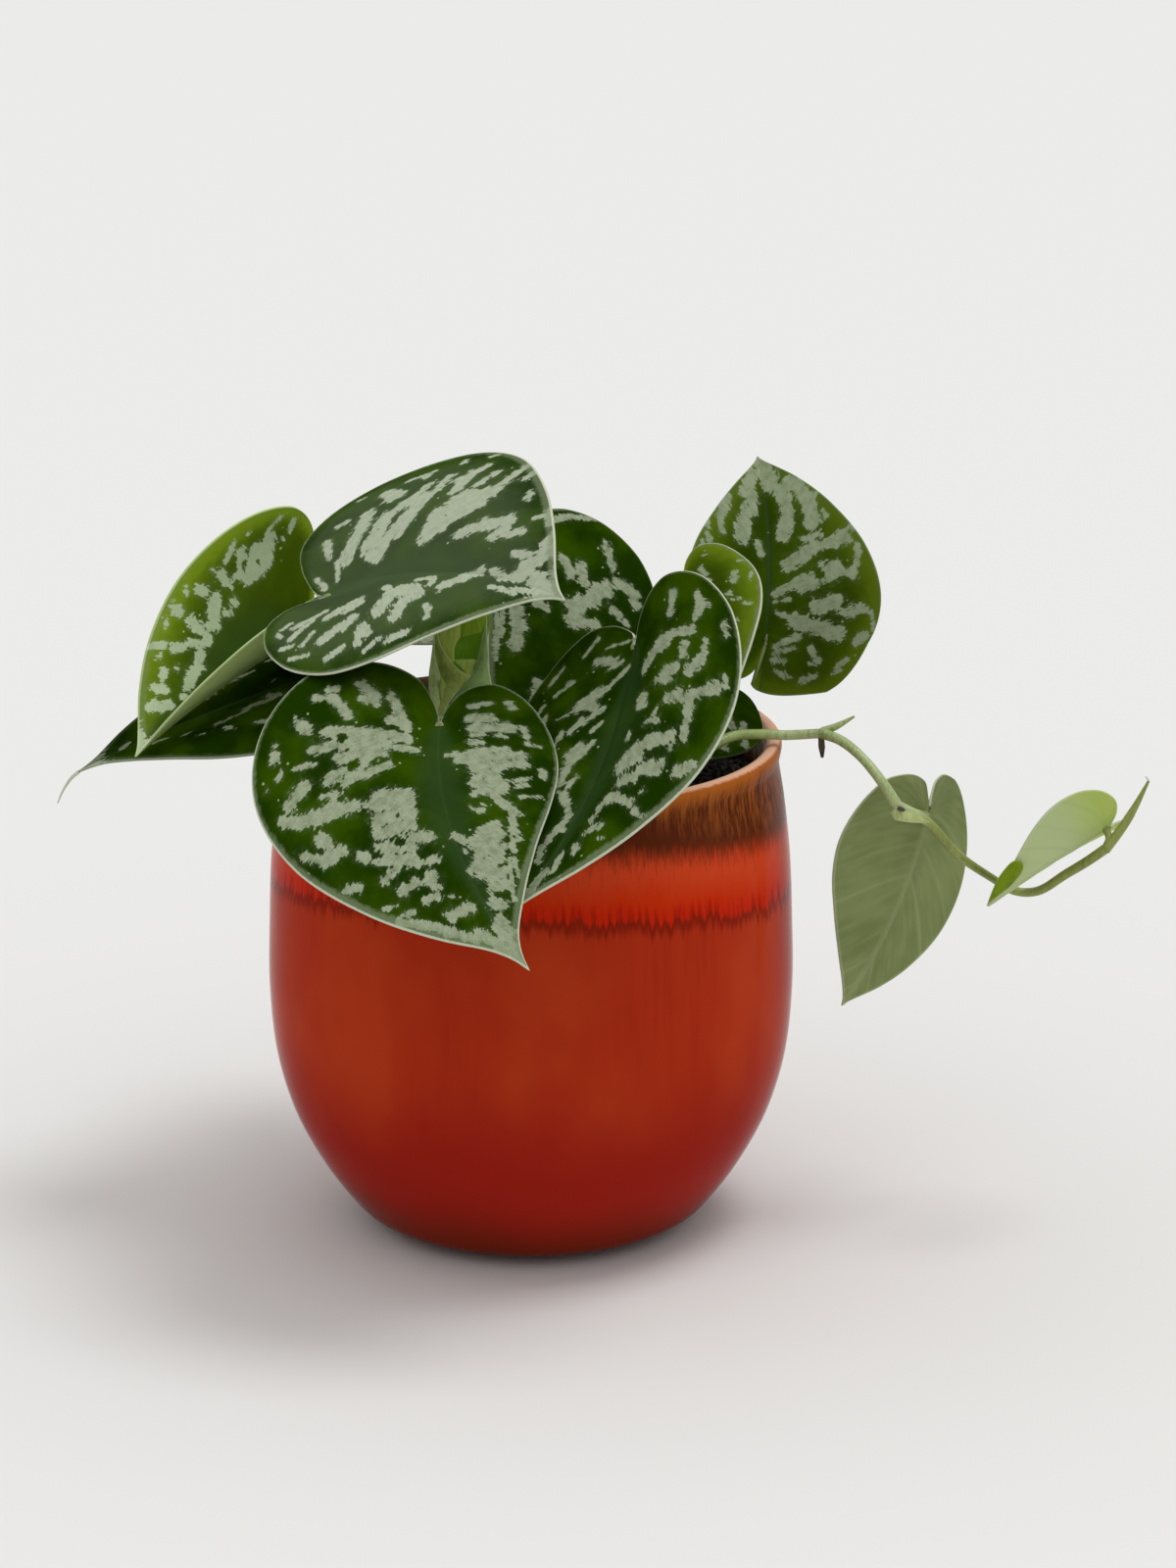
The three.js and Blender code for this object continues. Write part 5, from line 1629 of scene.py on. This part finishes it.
def leaf_attributes(name, leaf, data, veins):
    """What the leaf's materials read at each point of a face."""
    count = len(veins)
    across = np.abs(data["y"]) * leaf.length
    is_left = data["y"] >= 0
    zone = np.where(is_left, *leaf.zone) * np.interp(data["x"], ZONE_SHARES, ZONE_WIDTHS)
    zone = zone * leaf.length / USUAL_LENGTH
    flat = [data["x"] * leaf.length, data["y"] * leaf.length, np.full(count, FLAT_APART * leaf.seed)]
    grain = [data["across_veins"], data["along_veins"], np.full(count, GRAIN_APART * leaf.seed)]
    same_all_over = {key: np.full(count, getattr(leaf, key)) for key in ("youth", "painted_sheen_and_silver", "rim", "pale")}
    return {
        **same_all_over,
        "patches": silver_field(name, leaf, data),
        "from_margin": data["from_margin"],
        "midrib_zone": bump_shape(across, zone),
        "from_midrib": across,
        "veins": np.maximum(1 - veins * 2.5, bump_shape(across, MIDRIB_WIDTH)),
        "underlit": np.where(is_left, *leaf.underlit),
        "tone": np.where(is_left, *leaf.tone),
        "flat": np.column_stack(flat),
        "grain": np.column_stack(grain),
    }


def make_leaf(name, leaf, settings, materials):
    """A closed blade: its face, its underside and the narrow wall round its edge."""
    stations, rows = round(settings.stations * leaf.detail), round(settings.rows * leaf.detail)
    data, faces = blade_sheet(leaf, stations, rows)
    veins = np.abs(np.sin(math.pi * VEINS_A_HALF * data["vein"]))
    points = np.vstack(blade_faces(leaf, data, faces, settings, veins))
    count = len(veins)
    edges = {(a, b): True for face in faces for a, b in zip(face, face[1:] + face[:1])}
    walls = [(b, a, a + count, b + count) for a, b in edges if (b, a) not in edges]
    under = [tuple(corner + count for corner in face[::-1]) for face in faces]
    face_materials = [0] * len(faces) + [1] * len(under) + [0] * len(walls)
    attributes = {
        key: np.concatenate([values, values])
        for key, values in leaf_attributes(name, leaf, data, veins).items()
    }
    faces = faces + under + walls
    piece = mesh_piece(name + "_blade", points * MM, faces, materials, face_materials, attributes)
    register_piece(piece, "pale_foliage" if name.startswith("vine") else "foliage", name)


# ------------------------------------------------------------------ stage

CAMERA_TARGET = (15.4, 0, 121)
SENSOR = 36
FLOOR_SIZE = 40
SUN_SIZE = math.radians(24)
SUN_TILT = math.radians(18)


def make_stage(settings):
    """The camera, the floor, the sky and the sun."""
    scene = bpy.context.scene
    camera = place_object("camera", bpy.data.cameras.new("camera"))
    camera.data.lens = settings.lens
    camera.data.sensor_width = SENSOR
    camera.data.clip_end = 100
    back = np.array([0, -math.cos(settings.elevation), math.sin(settings.elevation)])
    camera.location = np.array(CAMERA_TARGET) * MM + back * settings.distance
    camera.rotation_euler = (math.pi / 2 - settings.elevation, 0, 0)
    scene.camera = camera
    half = FLOOR_SIZE / 2
    corners = [(-half, -half, 0), (half, -half, 0), (half, half, 0), (-half, half, 0)]
    material = plain_material("pale_floor", settings.floor, 0.9)
    floor = mesh_piece("floor", corners, [(0, 1, 2, 3)], [material])
    scene.view_settings.view_transform = "Standard"
    light_all_round(scene, settings)
    key = place_object("key", bpy.data.lights.new("key", "SUN"))
    key.data.energy = settings.key
    key.data.angle = SUN_SIZE
    key.rotation_euler = (0, SUN_TILT, 0)


def light_all_round(scene, settings):
    """A soft white sky, brightest overhead."""
    world = bpy.data.worlds.new("soft_daylight")
    world.use_nodes = True
    nodes, links = world.node_tree.nodes, world.node_tree.links
    place = nodes.new("ShaderNodeTexCoord")
    parts = nodes.new("ShaderNodeSeparateXYZ")
    rise = nodes.new("ShaderNodeMapRange")
    rise.interpolation_type = "SMOOTHSTEP"
    low = settings.sky * settings.horizon
    values = {"From Min": -0.1, "From Max": 0.9, "To Min": low, "To Max": settings.sky}
    for name, value in values.items():
        rise.inputs[name].default_value = value
    background = nodes["Background"]
    background.inputs["Color"].default_value = (1, 1, 1, 1)
    links.new(place.outputs["Generated"], parts.inputs[0])
    links.new(parts.outputs["Z"], rise.inputs["Value"])
    links.new(rise.outputs["Result"], background.inputs["Strength"])
    scene.world = world


# ------------------------------------------------------------------ operators and panel

class POTHOS_OT_pot(Operator):
    """Make the glazed pot."""

    bl_idname = "pothos.pot"
    bl_label = "Pot"

    def execute(self, context):
        make_pot(context.scene.pothos_pot)
        return {"FINISHED"}


class POTHOS_OT_soil(Operator):
    """Make the potting mix and its crumbs."""

    bl_idname = "pothos.soil"
    bl_label = "Soil"

    def execute(self, context):
        make_soil(context.scene.pothos_soil)
        return {"FINISHED"}


class POTHOS_OT_stems(Operator):
    """Make the shoots, stalks, sheaths and the vine."""

    bl_idname = "pothos.stems"
    bl_label = "Stems"

    def execute(self, context):
        make_stems(context.scene.pothos_stems)
        return {"FINISHED"}


class POTHOS_OT_leaves(Operator):
    """Make every leaf."""

    bl_idname = "pothos.leaves"
    bl_label = "Leaves"

    def execute(self, context):
        settings = context.scene.pothos_leaves
        materials = [upper_leaf_material(settings), lower_leaf_material(settings)]
        for name, leaf in LEAVES.items():
            make_leaf(name, leaf, settings, materials)
        return {"FINISHED"}


class POTHOS_OT_stage(Operator):
    """Make the camera, the floor and the lights."""

    bl_idname = "pothos.stage"
    bl_label = "Stage"

    def execute(self, context):
        make_stage(context.scene.pothos_stage)
        return {"FINISHED"}


OPERATORS = (POTHOS_OT_stage, POTHOS_OT_pot, POTHOS_OT_soil, POTHOS_OT_stems, POTHOS_OT_leaves)
SETTINGS = {
    "pothos_pot": PotSettings,
    "pothos_soil": SoilSettings,
    "pothos_stems": StemSettings,
    "pothos_leaves": LeafSettings,
    "pothos_stage": StageSettings,
}


class POTHOS_PT_panel(Panel):
    """The makers of the plant's pieces and their settings."""

    bl_label = "Satin pothos"
    bl_idname = "POTHOS_PT_panel"
    bl_space_type = "VIEW_3D"
    bl_region_type = "UI"
    bl_category = "Pothos"

    def draw(self, context):
        for operator in OPERATORS:
            self.layout.operator(operator.bl_idname)
        for key in SETTINGS:
            settings = getattr(context.scene, key)
            for name in settings.__annotations__:
                self.layout.prop(settings, name)


CLASSES = (*SETTINGS.values(), *OPERATORS, POTHOS_PT_panel)


def register():
    for cls in CLASSES:
        bpy.utils.register_class(cls)
    for key, cls in SETTINGS.items():
        setattr(bpy.types.Scene, key, PointerProperty(type=cls))


def unregister():
    for key in SETTINGS:
        delattr(bpy.types.Scene, key)
    for cls in reversed(CLASSES):
        bpy.utils.unregister_class(cls)


def main():
    register()
    bpy.ops.pothos.stage()
    bpy.ops.pothos.pot()
    bpy.ops.pothos.soil()
    bpy.ops.pothos.stems()
    bpy.ops.pothos.leaves()


if __name__ == "__main__":
    main()
